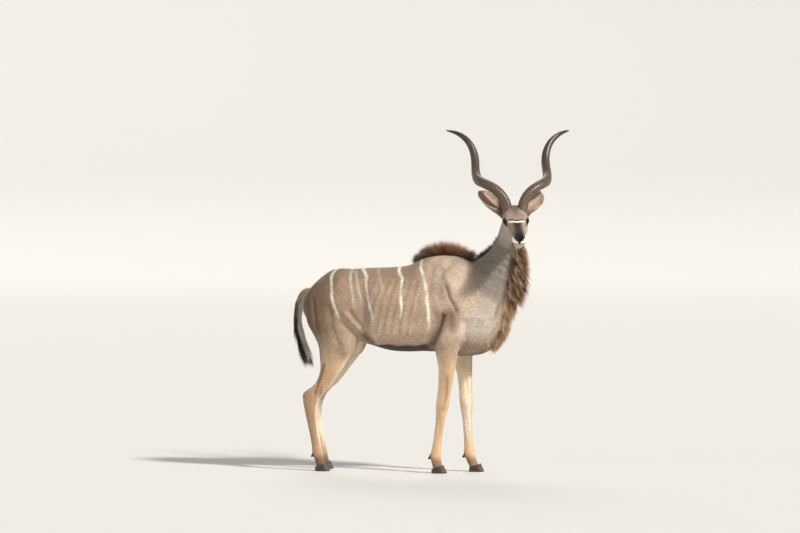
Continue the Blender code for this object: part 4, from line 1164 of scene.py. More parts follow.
def unwrap_legs(places):
    """Each leg rolled out into its own quarter of the square: round it, and down it."""
    fore = places[:, 0] > 0
    left = places[:, 1] > 0
    height = np.clip(places[:, 2], 0, 1)
    axis_x = np.where(fore, 0.30 + fore_step(places), -0.45)
    axis_y = np.where(left, 0.11, -0.11)
    round_it = np.arctan2(places[:, 1] - axis_y, places[:, 0] - axis_x) / (2 * math.pi) + 0.5
    return np.stack([0.01 + 0.48 * round_it + 0.5 * fore, 0.01 + 0.48 * height + 0.5 * left], axis=1)


def unwrap_head(places):
    """The skin of the head rolled out round the line from the poll to the nose."""
    u, v, w = in_head(places).T
    round_it = np.arctan2(v, w + 0.07) / (2 * math.pi) + 0.5
    return np.stack([0.02 + 0.95 * np.clip((u + 0.30) / 0.75, 0, 1), 0.01 + 0.98 * round_it], axis=1)


# %% [markdown]
# The short coat is mostly the bump of the hide, with a layer of blades over it that breaks the
# outline from every side: long on the throat and chest, short on the legs and shortest on the face.

# %% The coat of the trunk, legs and head
QUICK = 1.0
short_blade = blade(1)


def coat_piece(name, skin, count, seed, wanted, colour, lie, length, width, unwrap):
    """A layer of short tufts over the part of the skin that wanted() names."""
    roots, outward, draw = scatter(skin, int(count * QUICK), seed, wanted)
    tone = draw.normal(1.0, 0.07, len(roots))[:, None]
    colours = colour(roots, outward) * np.clip(tone, 0.80, 1.25)
    shake = draw.normal(0, 0.16, roots.shape)
    lies = unit(lie(roots, outward) + shake - outward * (shake * outward).sum(axis=1)[:, None])
    lengths = length(roots) * draw.uniform(0.7, 1.25, len(roots))
    widths = width * draw.uniform(0.7, 1.3, len(roots))
    made = lay_blades(name, short_blade, roots, outward, lies, lengths, widths, colours * 0.97,
                      colours * 1.06, unwrap, lift=0.07, sunk=0.0005, flat=0.14, curl=0.4, like_skin=0.92)
    return put_in_place(made, coat_hair)


def on_legs(places):
    """Where the legs' tufts grow: more than twice as close below the knee, where they are short."""
    return ((places[:, 2] < 0.76) & (places[:, 2] > 0.060)) * (0.6 + 0.8 * (places[:, 2] < 0.5))


def length_on_legs(places):
    return 0.008 + 0.005 * soft_step(places[:, 2], 0.4, 0.75)


def length_on_trunk(places):
    """Short over the ribs, long on the neck, and longest on the breast."""
    breast = soft_step(places[:, 0] - 0.6 * (places[:, 2] - 0.95), 0.44, 0.58)
    long = breast * soft_step(-places[:, 2], -1.20, -1.00)
    return 0.013 + 0.005 * soft_step(places[:, 0], 0.38, 0.60) + 0.018 * long


coat_hair = hide_material("kudu guard hair", hair_mm=2.6, fine_mm=1.5, roughness=0.80, bump_mm=0.2)
for side, word in SIDES:
    coat_piece(f"coat_{word}", hide, count=17500, seed=20 + side,
               wanted=lambda p, f, side=side: (p[:, 2] > 0.74) * (p[:, 1] * side > 0),
               colour=colour_of_body, lie=lie_of_body, length=length_on_trunk, width=0.0042,
               unwrap=unwrap_trunk)
coat_piece("coat_legs", hide, count=15000, seed=31, wanted=lambda p, f: on_legs(p),
           colour=colour_of_body, lie=lie_of_body, length=length_on_legs, width=0.0030, unwrap=unwrap_legs)


def away_from_openings(places):
    u, w = in_head(places)[:, [0, 2]].T
    keep = np.ones(len(places))
    for k in (1, -1):
        keep *= np.linalg.norm(places - np.array(eye_centre(k)), axis=1) > 0.0275
    keep *= ~((u > 0.378) & (w > -0.050))
    keep *= ~((np.abs(w - MOUTH_LEVEL) < 0.006) & (u > MOUTH_CORNER))
    return keep


def on_upper_neck(places):
    return share_of_face(places) < 0.5


def length_on_head(places):
    return 0.0050 + 0.0050 * soft_step(-in_head(places)[:, 0], -0.16, 0.02)


def length_on_upper_neck(places):
    """As short as on the head at the jaw line, and longer down the neck."""
    return length_on_trunk(places) * (1 - 0.62 * soft_step(before_jaw_line(places), -0.17, -0.01))


coat_piece("coat_head", face, count=19000, seed=41,
           wanted=lambda p, f: away_from_openings(p) * ~on_upper_neck(p),
           colour=colour_of_head, lie=lie_of_head, length=length_on_head, width=0.0019, unwrap=unwrap_head)
coat_piece("coat_upper_neck", face, count=5200, seed=43, wanted=lambda p, f: on_upper_neck(p),
           colour=colour_of_head, lie=lie_of_body, length=length_on_upper_neck, width=0.0034,
           unwrap=unwrap_trunk)

# %% [markdown]
# ## Mane, fringe and tail
# Long hair hangs in locks: hairs that start side by side run together at their tips. Each lock
# here is a handful of blades with one shared tip. The withers' mane fans from backwards over the
# back to forwards over the neck, the throat's fringe hangs from the jaw to the breast, and the
# tail ends in a black tuft.

# %% The material of long hair
def hair_material(name, roughness):
    """Long coarse hair: a soft streak of light along it, and its colour from the attribute."""
    made, shader = new_material(name, roughness, Specular_IOR_Level=0.35)
    colour_from_coat(made, shader)
    return made


mane_hair = hair_material("coarse mane hair", 0.55)

# %% Locks of long hair
long_blade = blade(4)


class Locks:
    """Gathers roots and ways lock by lock, and then grows the hair of all of them as one mesh."""

    def __init__(self):
        self.rows = []

    def add(self, root, normal, lie, length, sag, colour, tip):
        self.rows.append([np.array(v, float) for v in (root, normal, lie, length, sag, colour, tip)])

    def grow(self, name, per_lock, spread_mm, width, seed, unwrap=unwrap_trunk, gather=0.65, sunk=0.006):
        """Each root becomes a lock of blades that start apart and run together at the tip."""
        roots, outward, lies, lengths, sags, colours, tips = (np.array(column) for column in zip(*self.rows))
        draw = np.random.default_rng(seed)
        fan = draw.normal(0, spread_mm / 1000, (len(roots), per_lock, 3))
        fan -= outward[:, None] * (fan * outward[:, None]).sum(axis=2)[:, :, None]
        lengths = (lengths[:, None] * draw.uniform(0.72, 1.05, (len(roots), per_lock))).ravel()
        start = (roots[:, None] + fan).reshape(-1, 3)
        outward, lies, sags, colours, tips = (
            np.repeat(column, per_lock, axis=0) for column in (outward, unit(lies), sags, colours, tips))
        inward = (-fan * gather).reshape(-1, 3) / np.maximum(lengths, 0.02)[:, None]
        way = unit(lies + inward + draw.normal(0, 0.035, start.shape))
        sags = sags + draw.normal(0, 0.03, start.shape)
        tone = np.clip(draw.normal(1, 0.20, len(start)), 0.5, 1.6)[:, None]
        widths = width * draw.uniform(0.6, 1.3, len(start))
        made = lay_blades(name, long_blade, start, outward, way, lengths, widths, colours * tone, tips * tone,
                          unwrap, lift=0.0, sunk=sunk, flat=0.6, sag=sags)
        return put_in_place(made, mane_hair)


# %% The places that locks grow from
def skin_top(x, y):
    """Highest place of the hide over this spot, and its normal."""
    return hide.ray_cast(Vector((x, y, 1.6)), DOWN)[1:3]


def skin_from_outside(middle, way, reach=0.5):
    """The outermost place of either skin this way from the middle, with its normal, or None."""
    found = []
    for skin in (hide, face):
        hit, place, normal = skin.ray_cast(middle + way * reach, -way)[:3]
        if hit and (place - middle).dot(way) > 0 and normal.dot(way) > 0:
            found.append(((place - middle).dot(way), place, normal))
    return max(found, key=lambda one: one[0])[1:] if found else (None, None)


def jitter(across, up):
    """A small random step, with one spread on the level and another up and down, or none there."""
    return Vector((draw.gauss(0, across), draw.gauss(0, across), draw.gauss(0, up) if up else 0))


draw = random.Random(SEED)
bpy.context.view_layer.update()

# %% The mane over the withers
MANE_FROM, MANE_TO = 0.105, 0.470
MANE_LOCKS = 360
mane = Locks()
for k in range(MANE_LOCKS):
    t = draw.random()
    place, normal = skin_top(MANE_FROM + (MANE_TO - MANE_FROM) * t, draw.gauss(0, 0.007))
    lean = math.radians(np.interp(t, (0, 0.35, 0.65, 0.85, 1), (-64, -34, -4, 22, 48)) + draw.gauss(0, 10))
    length = np.interp(t, (0, 0.15, 0.35, 0.5, 0.65, 1), (0.042, 0.078, 0.108, 0.118, 0.106, 0.072))
    lie = (math.sin(lean), draw.gauss(0, 0.12), math.cos(lean))
    red = draw.uniform(0.8, 1.25)
    tip = PALETTE["mane tip" if 0.35 < t < 0.80 else "mane end"] * red
    mane.add(place, normal, lie, length * draw.uniform(0.66, 1.0), (math.copysign(0.08, lean), 0, -0.05),
             PALETTE["mane root"] * red, tip)
mane.grow("mane_withers", per_lock=14, spread_mm=7.0, width=0.0016, seed=51, gather=0.35)

# %% The short mane of the nape
NAPE_LOCKS = 190
NAPE_ROWS = (9.0, 26.0)  # it grows between these rows of the neck's sections
nape = Locks()
sections = neck_sections()


def neck_at(at):
    """Centre, side and front of the neck's section at this row, counted in filled-in rows."""
    low = min(int(at), len(sections) - 2)
    return [sections[low][i].lerp(sections[low + 1][i], at - low) for i in range(3)]


for k in range(NAPE_LOCKS):
    centre, side, front = neck_at(draw.uniform(*NAPE_ROWS))
    way = (side * draw.gauss(0, 0.06) - front).normalized()
    place, normal = skin_from_outside(centre, way, 0.16)
    if place is None:
        continue
    lie = normal * 0.8 + UP * 0.10 + jitter(0.12, 0.12)
    tone = draw.uniform(0.7, 1.3)
    nape.add(place, normal, lie, draw.uniform(0.024, 0.042), (0, 0, 0.02),
             PALETTE["nape root"] * tone, PALETTE["nape tip"] * tone)
nape.grow("mane_nape", per_lock=12, spread_mm=8.0, width=0.0016, seed=53)
print("mane:", len(mane.rows), "locks on the withers and", len(nape.rows), "up the nape")

# %% [markdown]
# The fringe starts as a dark beard under the jaw, hangs down the throat in brown and cream strands
# and ends as long pale hair between the forelegs. Brown and cream locks are drawn one by one, so
# that they mix as streaks.

# %% The fringe of the throat
BROWN, CREAM, GOLD = PALETTE["brown"], PALETTE["cream"], PALETTE["gold"]
FRINGE_LOCKS, BREAST_LOCKS, BEARD_LOCKS = 620, 420, 120
FRINGE_START, FRINGE_REACH = 8.8, 12.7  # in rows of the neck's sections, from the breast up
fringe = Locks()
for k in range(FRINGE_LOCKS):
    at = draw.uniform(FRINGE_START, FRINGE_START + FRINGE_REACH)
    centre, side, front = neck_at(at)
    file = max(-1.7, min(1.7, draw.gauss(0, 0.85)))
    t = (at - FRINGE_START) / FRINGE_REACH
    round_neck = file * (0.27 + 0.22 * (1 - t))
    place, normal = skin_from_outside(centre, (front + side * round_neck).normalized(), 0.22 - 0.006 * at)
    if place is None:
        continue
    length = np.interp(t, (0, 0.4, 1), (0.115, 0.132, 0.088)) * draw.uniform(0.70, 1.05)
    lie = normal * 0.55 + Vector((0.22, 0, -1.0)) + side * (file * 0.06) + jitter(0.12, 0)
    pale = draw.random() < 0.24 + 0.24 * abs(file)
    if pale:
        root, tip = CREAM * 0.75, CREAM
    else:
        root, tip = BROWN * 0.7, GOLD if draw.random() < 0.40 else BROWN * 1.4
    tone = draw.uniform(0.72, 1.22)
    fringe.add(place, normal, lie, length, DOWN * 0.08 - front * 0.06, root * tone, tip * tone)
fringe.grow("fringe_throat", per_lock=10, spread_mm=8.0, width=0.0016, seed=57, gather=0.45)

# %% The hair of the breast
BREAST_MIDDLE = Vector((0.50, 0, 0.97))
breast = Locks()
for k in range(BREAST_LOCKS):
    t = draw.random()
    aim = math.radians(33 - 99 * t)
    way = Vector((math.cos(aim), draw.gauss(0, 0.24), math.sin(aim))).normalized()
    place, normal = skin_from_outside(BREAST_MIDDLE, way)
    if place is None or normal.z < -0.97:
        continue
    length = (0.098 - 0.052 * t) * draw.uniform(0.65, 1.05)
    lie = normal * 0.30 + Vector((draw.gauss(0.02, 0.10), draw.gauss(0, 0.10), -1.0))
    pale = draw.random() < 0.72 if abs(way.y) > 0.12 else draw.random() < 0.50
    root, tip = (CREAM * 0.85, CREAM) if pale else (BROWN * 0.9, GOLD)
    tone = draw.uniform(0.85, 1.15)
    breast.add(place, normal, lie, length, (-0.05, 0, -0.04), root * tone, tip * tone)
breast.grow("fringe_breast", per_lock=10, spread_mm=9.0, width=0.0016, seed=58, gather=0.45)

# %% The beard
beard = Locks()
for k in range(BEARD_LOCKS):
    along, out = draw.uniform(0.04, 0.18), draw.gauss(0, 0.014)
    start, inside = head_point(along, out, -0.24), head_point(along, out, -0.10)
    hit, place, normal = face.ray_cast(start, (inside - start).normalized(), distance=0.14)[:3]
    if not hit:
        continue
    length = np.interp(along, (0.04, 0.08, 0.18), (0.090, 0.070, 0.014)) * draw.uniform(0.6, 1.05)
    tone = draw.uniform(0.75, 1.3)
    beard.add(place, normal, (draw.gauss(-0.1, 0.15), draw.gauss(0.25, 0.15), -1.0), length, (0, 0, -0.05),
              BROWN * 0.7 * tone, (GOLD if draw.random() < 0.3 else BROWN * 1.2) * tone)
beard.grow("beard", per_lock=10, spread_mm=7.0, width=0.0014, seed=59, unwrap=unwrap_head, gather=0.4)
print("fringe:", len(fringe.rows), "locks on the throat,", len(breast.rows), "on the breast,",
      len(beard.rows), "under the jaw")

# %% [markdown]
# ## Tail
# The tail is a thin stem with long hair from half way down. Its underside is white, its outer side
# is dark brown and the tip is black. The stem is a loft, and the hair is laid in locks round it.

# %% The stem of the tail
TAIL_ROWS = spread([
    #   along the body, height, radius
    (-0.520, 1.070, 0.036), (-0.570, 1.102, 0.032), (-0.614, 1.102, 0.028), (-0.645, 1.064, 0.024),
    (-0.660, 1.000, 0.020), (-0.664, 0.930, 0.017), (-0.652, 0.850, 0.014), (-0.628, 0.770, 0.010),
    (-0.610, 0.705, 0.006),
], 6)
TUFT_LOCKS = 300


def tail_path(t):
    x, z, radius = row_at(TAIL_ROWS, t)
    return Vector((x, 0, z)), radius


stem_rings = []
for t in np.arange(60) / 59:
    centre, radius = tail_path(t)
    onward = (tail_path(min(1.0, t + 0.02))[0] - tail_path(max(0.0, t - 0.02))[0]).normalized()
    stem_rings.append(ring(centre, ACROSS, onward.cross(ACROSS), radius, radius * 0.9, radius * 0.9, 2.0, 20))
tail = object_from(loft(stem_rings), "tail_stem")
tail_co, tail_out = coordinates(tail), outward_ways(tail)
tail_shade = np.tile(PALETTE["tail stem"], (len(tail_co), 1))
tail_front = soft_step(tail_out[:, 0], 0.2, 0.7) * soft_step(-tail_co[:, 2], -1.08, -1.00)
tail_shade = blend(tail_shade, "white", tail_front)
tail_shade = blend(tail_shade, "dark", soft_step(-tail_co[:, 2], -0.86, -0.74) * 0.9)
keep_colours(tail, tail_shade)
tail.data.shade_smooth()

# %% The hair of the tail
tuft = Locks()
for k in range(TUFT_LOCKS):
    t = draw.uniform(0.40, 0.975)
    centre, radius = tail_path(t)
    angle = draw.uniform(0, 2 * math.pi)
    normal = Vector((math.cos(angle), math.sin(angle), 0))
    low = float(soft_step(t, 0.42, 0.80))
    lie = normal * (0.15 + 0.22 * low) + (tail_path(min(1.0, t + 0.03))[0] - centre).normalized()
    length = min(centre.z - 0.640, 0.035 + 0.085 * low) * draw.uniform(0.80, 1.08) + 0.004
    sag = -normal * 0.12 * low + Vector((0.05, 0, -0.1))
    if normal.x > 0.35 and t < 0.90:
        colour = PALETTE["tail white"] * draw.uniform(0.8, 1.1)
    else:
        dark = float(soft_step(t, 0.44, 0.69))
        mixed = PALETTE["tail brown"] * (1 - dark) + PALETTE["tail tip"] * dark
        colour = mixed * draw.uniform(0.7, 1.3)
    tuft.add(centre + normal * radius, normal, lie, length, sag, colour, colour * 1.1)
tuft.grow("tail_hair", per_lock=12, spread_mm=7.0, width=0.0018, seed=61)

# %% [markdown]
# ## Horns
# A kudu's horn is a hollow sheath of keratin over bone. It winds up in an open coil, with a keel
# that winds with it, rings of growth near the base and a smooth tip. The path is a coil round an
# axis, and each ring of the loft is turned with the keel and swelled by the growth rings.

# %% The path and the keel of a horn
def horn_path(t, side):
    start = Vector((0.105, -0.031, 0.008))  # out, back, up
    axis = Vector((0.227, 0.514, 0.492))
    along = axis.normalized()
    first = (Vector((1, 0, 0)) - along * along.x).normalized()
    second = along.cross(first)
    angle = math.radians(HORN_TURN_START + (HORN_TURN_END - HORN_TURN_START) * t)
    radius = 0.063 * (1 - t) ** 2 - 0.020 * t * (1 - t) + 0.058 * t * t
    out, back, up = start + axis * t + (first * math.cos(angle) + second * math.sin(angle)) * radius
    return head_point(HORN_ALONG, 0, -0.004) + HEAD_LEFT * (out * side) - HEAD_LEVEL * back + UP * up


def horn_place(t, side):
    """The coil, and below its start a straight run down into the skull."""
    if t >= 0:
        return horn_path(t, side)
    start = horn_path(0, side)
    return start + (horn_path(0.01, side) - start).normalized() * t * HORN_LENGTH


def horn(side, name, steps=320, count=36):
    """The loft of one horn, with its rings of growth and painted shade in their grooves."""
    rings, shades = [], []
    keel = UP
    tone = random.Random(SEED + side)
    bands = [tone.uniform(0.6, 1.3) for k in range(60)]
    for i in range(steps + 1):
        t = HORN_SUNK + (1 - HORN_SUNK) * i / steps
        here = horn_place(t, side)
        tangent = (horn_place(t + 0.005, side) - horn_place(t - 0.005, side)).normalized()
        keel = (keel - tangent * keel.dot(tangent)).normalized()
        radius = HORN_BASE_RADIUS * (1 - max(t, 0) ** 3) ** 0.75 * (1 - 0.12 * t) + 0.0010
        band = (t - HORN_SUNK) ** 0.85 * 48
        height = bands[int(band) % 60]
        fade = max(0.0, 1 - t / 0.66) ** 0.8 if t > 0 else 1.0
        growth = 0.060 * fade * height * (0.5 - 0.5 * math.cos(2 * math.pi * band)) ** 2
        twist = math.radians(side * 430 * t)
        side_way = tangent.cross(keel)
        # painted shade: the colour darkens in the grooves between the rings of growth
        groove = 1 - 0.62 * fade * (0.5 + 0.5 * math.cos(2 * math.pi * band)) ** 3
        shade = (PALETTE["horn base"] * (1 - t) + PALETTE["horn tip"] * t) * groove
        points = []
        for k in range(count):
            angle = 2 * math.pi * k / count
            off = angle - twist
            ridge = 0.955 + 0.17 * max(0.0, math.cos(off)) ** 4
            front = 0.35 + 0.65 * max(0.0, math.cos(off - 0.6))
            fibre = 0.004 * math.sin(angle * 17 + 3 * math.sin(9 * t)) * (1 - t)
            points.append(here + (keel * math.cos(angle) + side_way * math.sin(angle)) * radius
                          * (ridge + growth * front + fibre))
            shades.append(shade * (0.84 + 0.30 * math.sin(angle * 5 + 20 * t) ** 2))
        rings.append(points)
    made = object_from(loft(rings), name)
    keep_colours(made, np.array(shades))
    made.data.shade_smooth()
    return made


# %% The material of the horns
def horn_material():
    """Keratin horn sheath, with one gloss from base to tip and a fine grain in its colour and surface. Real
    horn is dull and fibrous near the base and polished by rubbing at the tips.
    """
    made, shader = new_material("keratin horn sheath", 0.38, IOR=1.54)
    place = add_node(made, "ShaderNodeTexCoord").outputs["Object"]
    grain = add_noise(made, place, 6.0, 5.0, 0.7)
    colour_from_coat(made, shader, grain, (0.3, 0.7, 0.72, 1.22))
    add_bump(made, shader, grain, 0.5, 1.2)
    return made


sheath = horn_material()
for side, word in SIDES:
    put_in_place(horn(side, f"horn_sheath_{word}"), sheath, [f"horn_{word}"])

# %% [markdown]
# ## Ears
# The ear is a large cupped leaf that rolls to a tube at its base. It is made as a grid bent into
# that shape, and a Solidify modifier gives the gristle its 3 mm. Inside it is pinkish skin with
# rows of white hair, and its edge is pale.

# %% The leaf of the ear
def ear_frame(side):
    """The root of the ear, the ways to its tip and out of its hollow, and the way across it."""
    # the right ear is turned up, so that its lower edge shows from the front
    out, back, up, lift = (0.128, 0.080, 0.132, 0.95) if side < 0 else (0.098, 0.130, 0.135, 0.15)
    way = (HEAD_LEFT * (out * side) - HEAD_LEVEL * back + UP * up).normalized()
    facing = (HEAD_LEVEL - HEAD_LEFT * (0.25 * side) + UP * lift).normalized()
    facing = (facing - way * facing.dot(way)).normalized()
    root = head_point(0.022, side * 0.068, -0.056) - facing * 0.020
    return root, way, facing, way.cross(facing)


EAR_LENGTH = 0.222
EAR_WALL = 0.0034
EAR_LOCKS = 150
EAR_SHAPE = spread([
    #   share of the length, radius of the roll, half its angle in degrees
    (-0.08, 0.020, 160), (0.12, 0.028, 145), (0.30, 0.047, 104), (0.50, 0.064, 75),
    (0.72, 0.063, 59), (0.90, 0.047, 46), (1.0, 0.016, 25),
], 6)


def ear_place(side, row, column):
    """A place on the leaf: row from 0 at the root to 1 at the tip, column from -1 to 1 across."""
    root, way, facing, across = ear_frame(side)
    share, radius, roll = row_at(EAR_SHAPE, row)
    angle = math.radians(column * roll)
    rim = 1 + 0.02 * math.sin(row * 40) * abs(column) ** 6
    place = root + way * (EAR_LENGTH * share) + across * (radius * math.sin(angle) * rim)
    return place + facing * (radius * (1 - math.cos(angle)) * 0.85 + 0.02 * share * share)


def ear_fur(places, change):
    """The colour of the ear's outer side, lighter and darker from place to place by this share."""
    return np.tile(PALETTE["ear"], (len(places), 1)) * (1 + change * wave(places, 0.03, 9))[:, None]


def ear(side, name):
    bm = bmesh.new()
    bmesh.ops.create_grid(bm, x_segments=24, y_segments=48, size=1.0)
    for v in bm.verts:
        v.co = ear_place(side, (v.co.y + 1) / 2, v.co.x)
    bmesh.ops.recalc_face_normals(bm, faces=bm.faces)
    made = object_from(bm, name)
    wall = made.modifiers.new("Wall", "SOLIDIFY")
    wall.thickness = EAR_WALL
    wall.offset = 0.0
    apply_modifiers(made)
    root, way, facing = (np.array(d) for d in ear_frame(side)[:3])
    co, outward = coordinates(made), outward_ways(made)
    along = (co - root) @ way / EAR_LENGTH
    inner = soft_step(outward @ facing, -0.05, 0.25)
    # painted shade: the inner skin darkens towards the root, deep in the ear's hollow
    skin = PALETTE["ear skin"] * (1 - 0.4 * soft_step(-along, -0.55, -0.15))[:, None]
    shade = ear_fur(co, 0.08) * (1 - inner)[:, None] + skin * inner[:, None]
    edges = [[ear_place(side, row, column) for row in np.linspace(0.15, 1, 24)] for column in (-1, 1)]
    shade = blend(shade, "chin", np.maximum(*(near_line(co, line, 0.0060) for line in edges)) * 0.75)
    # more painted shade at the bottom of the hollow, near the root
    shade = blend(shade, "dark", soft_step(-along, -0.28, -0.08) * inner * 0.6)
    keep_colours(made, shade)
    made.data.shade_smooth()
    return made


# %% Hair on the ear: short outside, long pale rows inside
def unwrap_ear(places, root, way, across):
    """The leaf laid flat: along it from its root, and across it."""
    from_root = places - root
    return np.stack([0.1 + 0.8 * np.clip((from_root @ way) / EAR_LENGTH, 0, 1),
                     0.5 + 4.0 * np.clip(from_root @ across, -0.1, 0.1)], axis=1)


def on_back_of_ear(places, outward, root, way, facing):
    return (outward @ facing < 0.1) * ((places - root) @ way > 0.01)


ear_skin = hide_material("thin skin of the ear", hair_mm=1.6, fine_mm=1.6, roughness=0.70, bump_mm=0.3)
for side, word in SIDES:
    leaf = ear(side, f"ear_leaf_{word}")
    root, way, facing, across = (np.array(d) for d in ear_frame(side))
    unwrap = partial(unwrap_ear, root=root, way=way, across=across)
    coat_piece(f"coat_ear_{word}", leaf, count=2600, seed=70 + side,
               wanted=partial(on_back_of_ear, root=root, way=way, facing=facing),
               colour=lambda p, o: ear_fur(p, 0.1), lie=lambda p, o, way=way: laid_flat(way, o),
               length=lambda p: np.full(len(p), 0.0065), width=0.0017, unwrap=unwrap)
    rows = Locks()
    for k in range(EAR_LOCKS):
        row = draw.uniform(0.10, 0.80)
        column = draw.choice((-0.86, -0.68, 0.68, 0.86)) + draw.gauss(0, 0.05)
        place = ear_place(side, row, column)
        ahead = ear_place(side, min(1.0, row + 0.03), column)
        normal = (ear_place(side, row, 0) + Vector(facing) * 0.04 - place).normalized()
        colour = PALETTE["ear hair"] * draw.uniform(0.75, 1.1)
        lie = (ahead - place).normalized() + normal * 0.40
        rows.add(place, normal, lie, draw.uniform(0.016, 0.032), (0, 0, 0), colour * 0.8, colour)
    rows.grow(f"ear_hair_{word}", per_lock=6, spread_mm=4.0, width=0.0009, seed=80 + side,
              unwrap=unwrap, sunk=0.001)
    put_in_place(leaf, ear_skin, [f"ear_{word}"])

# %% [markdown]
# ## Eyes
# A kudu's eye is dark brown with a long level pupil, under a wet cornea. One ball carries the
# colours, and a clear, smooth surface gives it the one sharp highlight that makes it look alive.
# The lids' margins are bare dark skin, made as a thin cord that runs round the opening.

# %% Eyeballs
def eye_material():
    """Wet cornea over a dark iris: nearly black, with one smooth surface for the highlight."""
    made, shader = new_material("wet cornea over dark iris", 0.05, IOR=1.34)
    colour_from_coat(made, shader)
    return made


def margin_material():
    """Bare skin of the lids' margins, moist and nearly black."""
    return new_material("bare skin of the lids", 0.35, Base_Color=(*PALETTE["lid"], 1.0))[0]


cornea = eye_material()
margin = margin_material()


def eyeball(side, name):
    """One ball, turned so that the long way of its pupil lies along the opening."""
    looks, long_way, short_way = eye_axes(side)
    centre = eye_centre(side)
    bm = bmesh.new()
    bmesh.ops.create_uvsphere(bm, u_segments=40, v_segments=28, radius=EYE_RADIUS)
    turn = Matrix((long_way, short_way, looks)).transposed().to_4x4()
    bmesh.ops.transform(bm, matrix=Matrix.Translation(centre) @ turn, verts=bm.verts)
    ball = object_from(bm, name)
    from_middle = coordinates(ball) - np.array(centre)
    a_way, b_way = from_middle @ np.array(long_way), from_middle @ np.array(short_way)
    shade = np.tile(PALETTE["iris"], (len(from_middle), 1))
    pupil = (a_way / 0.0085) ** 2 + (b_way / 0.0048) ** 2
    shade = shade * (1 - (1 - soft_step(pupil, 0.8, 1.3))[:, None] * 0.9)
    rim = np.sqrt(a_way ** 2 + b_way ** 2)
    shade = shade * (1 - 0.75 * soft_step(rim, 0.0125, 0.0160)[:, None])
    keep_colours(ball, shade)
    ball.data.shade_smooth()
    return ball


# %% The lids' margins and the lashes
RIM_PLACES = 64  # places round the opening
LASHES = 34


def on_lids(side, flat_place):
    """The place just outside the ball that lies before this place of the opening's plane."""
    reach = math.sqrt(max(1e-9, (EYE_RADIUS + 0.0012) ** 2 - flat_place.length_squared))
    return eye_centre(side) + flat_place + eye_axes(side)[0] * reach


def lid_margin(side, name):
    centre = eye_centre(side)
    edge = almond_ring(side, 0.0, 1.0, RIM_PLACES)
    cord = []
    for k in range(RIM_PLACES + 1):
        here = on_lids(side, edge[k % RIM_PLACES] - centre)
        tangent = (edge[(k + 1) % RIM_PLACES] - edge[(k - 1) % RIM_PLACES]).normalized()
        outer = (here - centre).normalized()
        cord.append(ring(here, outer, tangent.cross(outer).normalized(), 0.0018, 0.0020, 0.0020, 2.0, 8))
    bm = loft(cord)
    bmesh.ops.remove_doubles(bm, verts=bm.verts, dist=1e-6)
    made = object_from(bm, name)
    made.data.shade_smooth()
    return made


def lash_locks(side):
    """The roots of the lashes, along the upper lid only."""
    looks, _, short_way = eye_axes(side)
    centre = eye_centre(side)
    edge = almond_ring(side, 0.0, 1.0, RIM_PLACES)
    lashes = Locks()
    for k in range(LASHES):
        place = edge[2 + int(k * 28 / LASHES)] - centre
        if place.dot(short_way) * (1 if short_way.z > 0 else -1) < 0:
            place = place - short_way * 2 * place.dot(short_way)
        here = on_lids(side, place)
        lie = looks * 0.9 + place.normalized() * 0.7 + DOWN * 0.15
        lashes.add(here, (here - centre).normalized(), lie, draw.uniform(0.009, 0.014), (0, 0, 0.25),
                   PALETTE["lash"], PALETTE["lash"])
    return lashes


for side, word in SIDES:
    put_in_place(eyeball(side, f"eyeball_{word}"), cornea, [f"eye_{word}"])
    put_in_place(lid_margin(side, f"lid_margin_{word}"), margin)
    lash_locks(side).grow(f"lashes_{word}", per_lock=3, spread_mm=0.8, width=0.0008, seed=90 + side,
                          unwrap=unwrap_head, sunk=0.001)

# %% [markdown]
# ## Hooves
# Each foot ends in two claws of dark hoof horn with a flat sole, worn edges and fine rings round
# the wall. Above the heel hang two dewclaws. The claw is a loft of rounded sections, trimmed by
# the sloped plane of the coronet, where hair and horn meet.

# %% Claws and dewclaws
CORONET_NORMAL = Vector((-math.sin(CORONET_SLOPE), 0, math.cos(CORONET_SLOPE)))


def coronet_point(foot):
    return Vector((foot.x + 0.03, foot.y, CORONET - 0.008))


def claw(foot, side_of_foot, name):
    rows = spread([
        #   height, toe, heel, half width
        (0.000, 0.0500, 0.0330, 0.0160), (0.003, 0.0515, 0.0340, 0.0172), (0.010, 0.0480, 0.0350, 0.0178),
        (0.025, 0.0405, 0.0345, 0.0172), (0.040, 0.0340, 0.0330, 0.0165), (0.075, 0.0200, 0.0280, 0.0140),
    ], 5)
    rings = []
    for z, toe, heel, half in rows:
        ripple = 1 + 0.006 * math.sin(z * 1400)
        centre = Vector((foot.x, foot.y + side_of_foot * 0.0190, z))
        rings.append(ring(centre, ACROSS, FORWARD, half * ripple, toe * ripple, heel, 2.4, 28))
    bm = loft(rings)
    cut = bmesh.ops.bisect_plane(bm, geom=everything(bm), dist=1e-7, clear_outer=True,
                                 plane_co=coronet_point(foot), plane_no=CORONET_NORMAL)["geom_cut"]
    bmesh.ops.edgeloop_fill(bm, edges=[g for g in cut if isinstance(g, bmesh.types.BMEdge)])
    made = object_from(bm, name)
    made.data.shade_smooth()
    made.data.set_sharp_from_angle(angle=math.radians(40))
    return made


def dewclaw(foot, side_of_foot, name):
    """A small blunt claw that stands out behind the fetlock, half sunk in the skin there."""
    bm = bmesh.new()
    bmesh.ops.create_cone(bm, cap_ends=True, segments=20, radius1=0.0100, radius2=0.0045, depth=0.030)
    tip = [e for e in bm.edges if all(v.co.z > 0 for v in e.verts)]
    bmesh.ops.bevel(bm, geom=tip, offset=0.0026, affect="EDGES", segments=3, profile=0.5, material=-1)
    start = Vector((foot.x - 0.20, foot.y + side_of_foot * 0.013, 0.098))
    place = hide.ray_cast(start, FORWARD)[1] - FORWARD * 0.003
    tilt = Matrix.Rotation(math.radians(-142), 4, "Y")
    bmesh.ops.transform(bm, matrix=Matrix.Translation(place) @ tilt, verts=bm.verts)
    made = object_from(bm, name)
    made.data.shade_smooth()
    return made


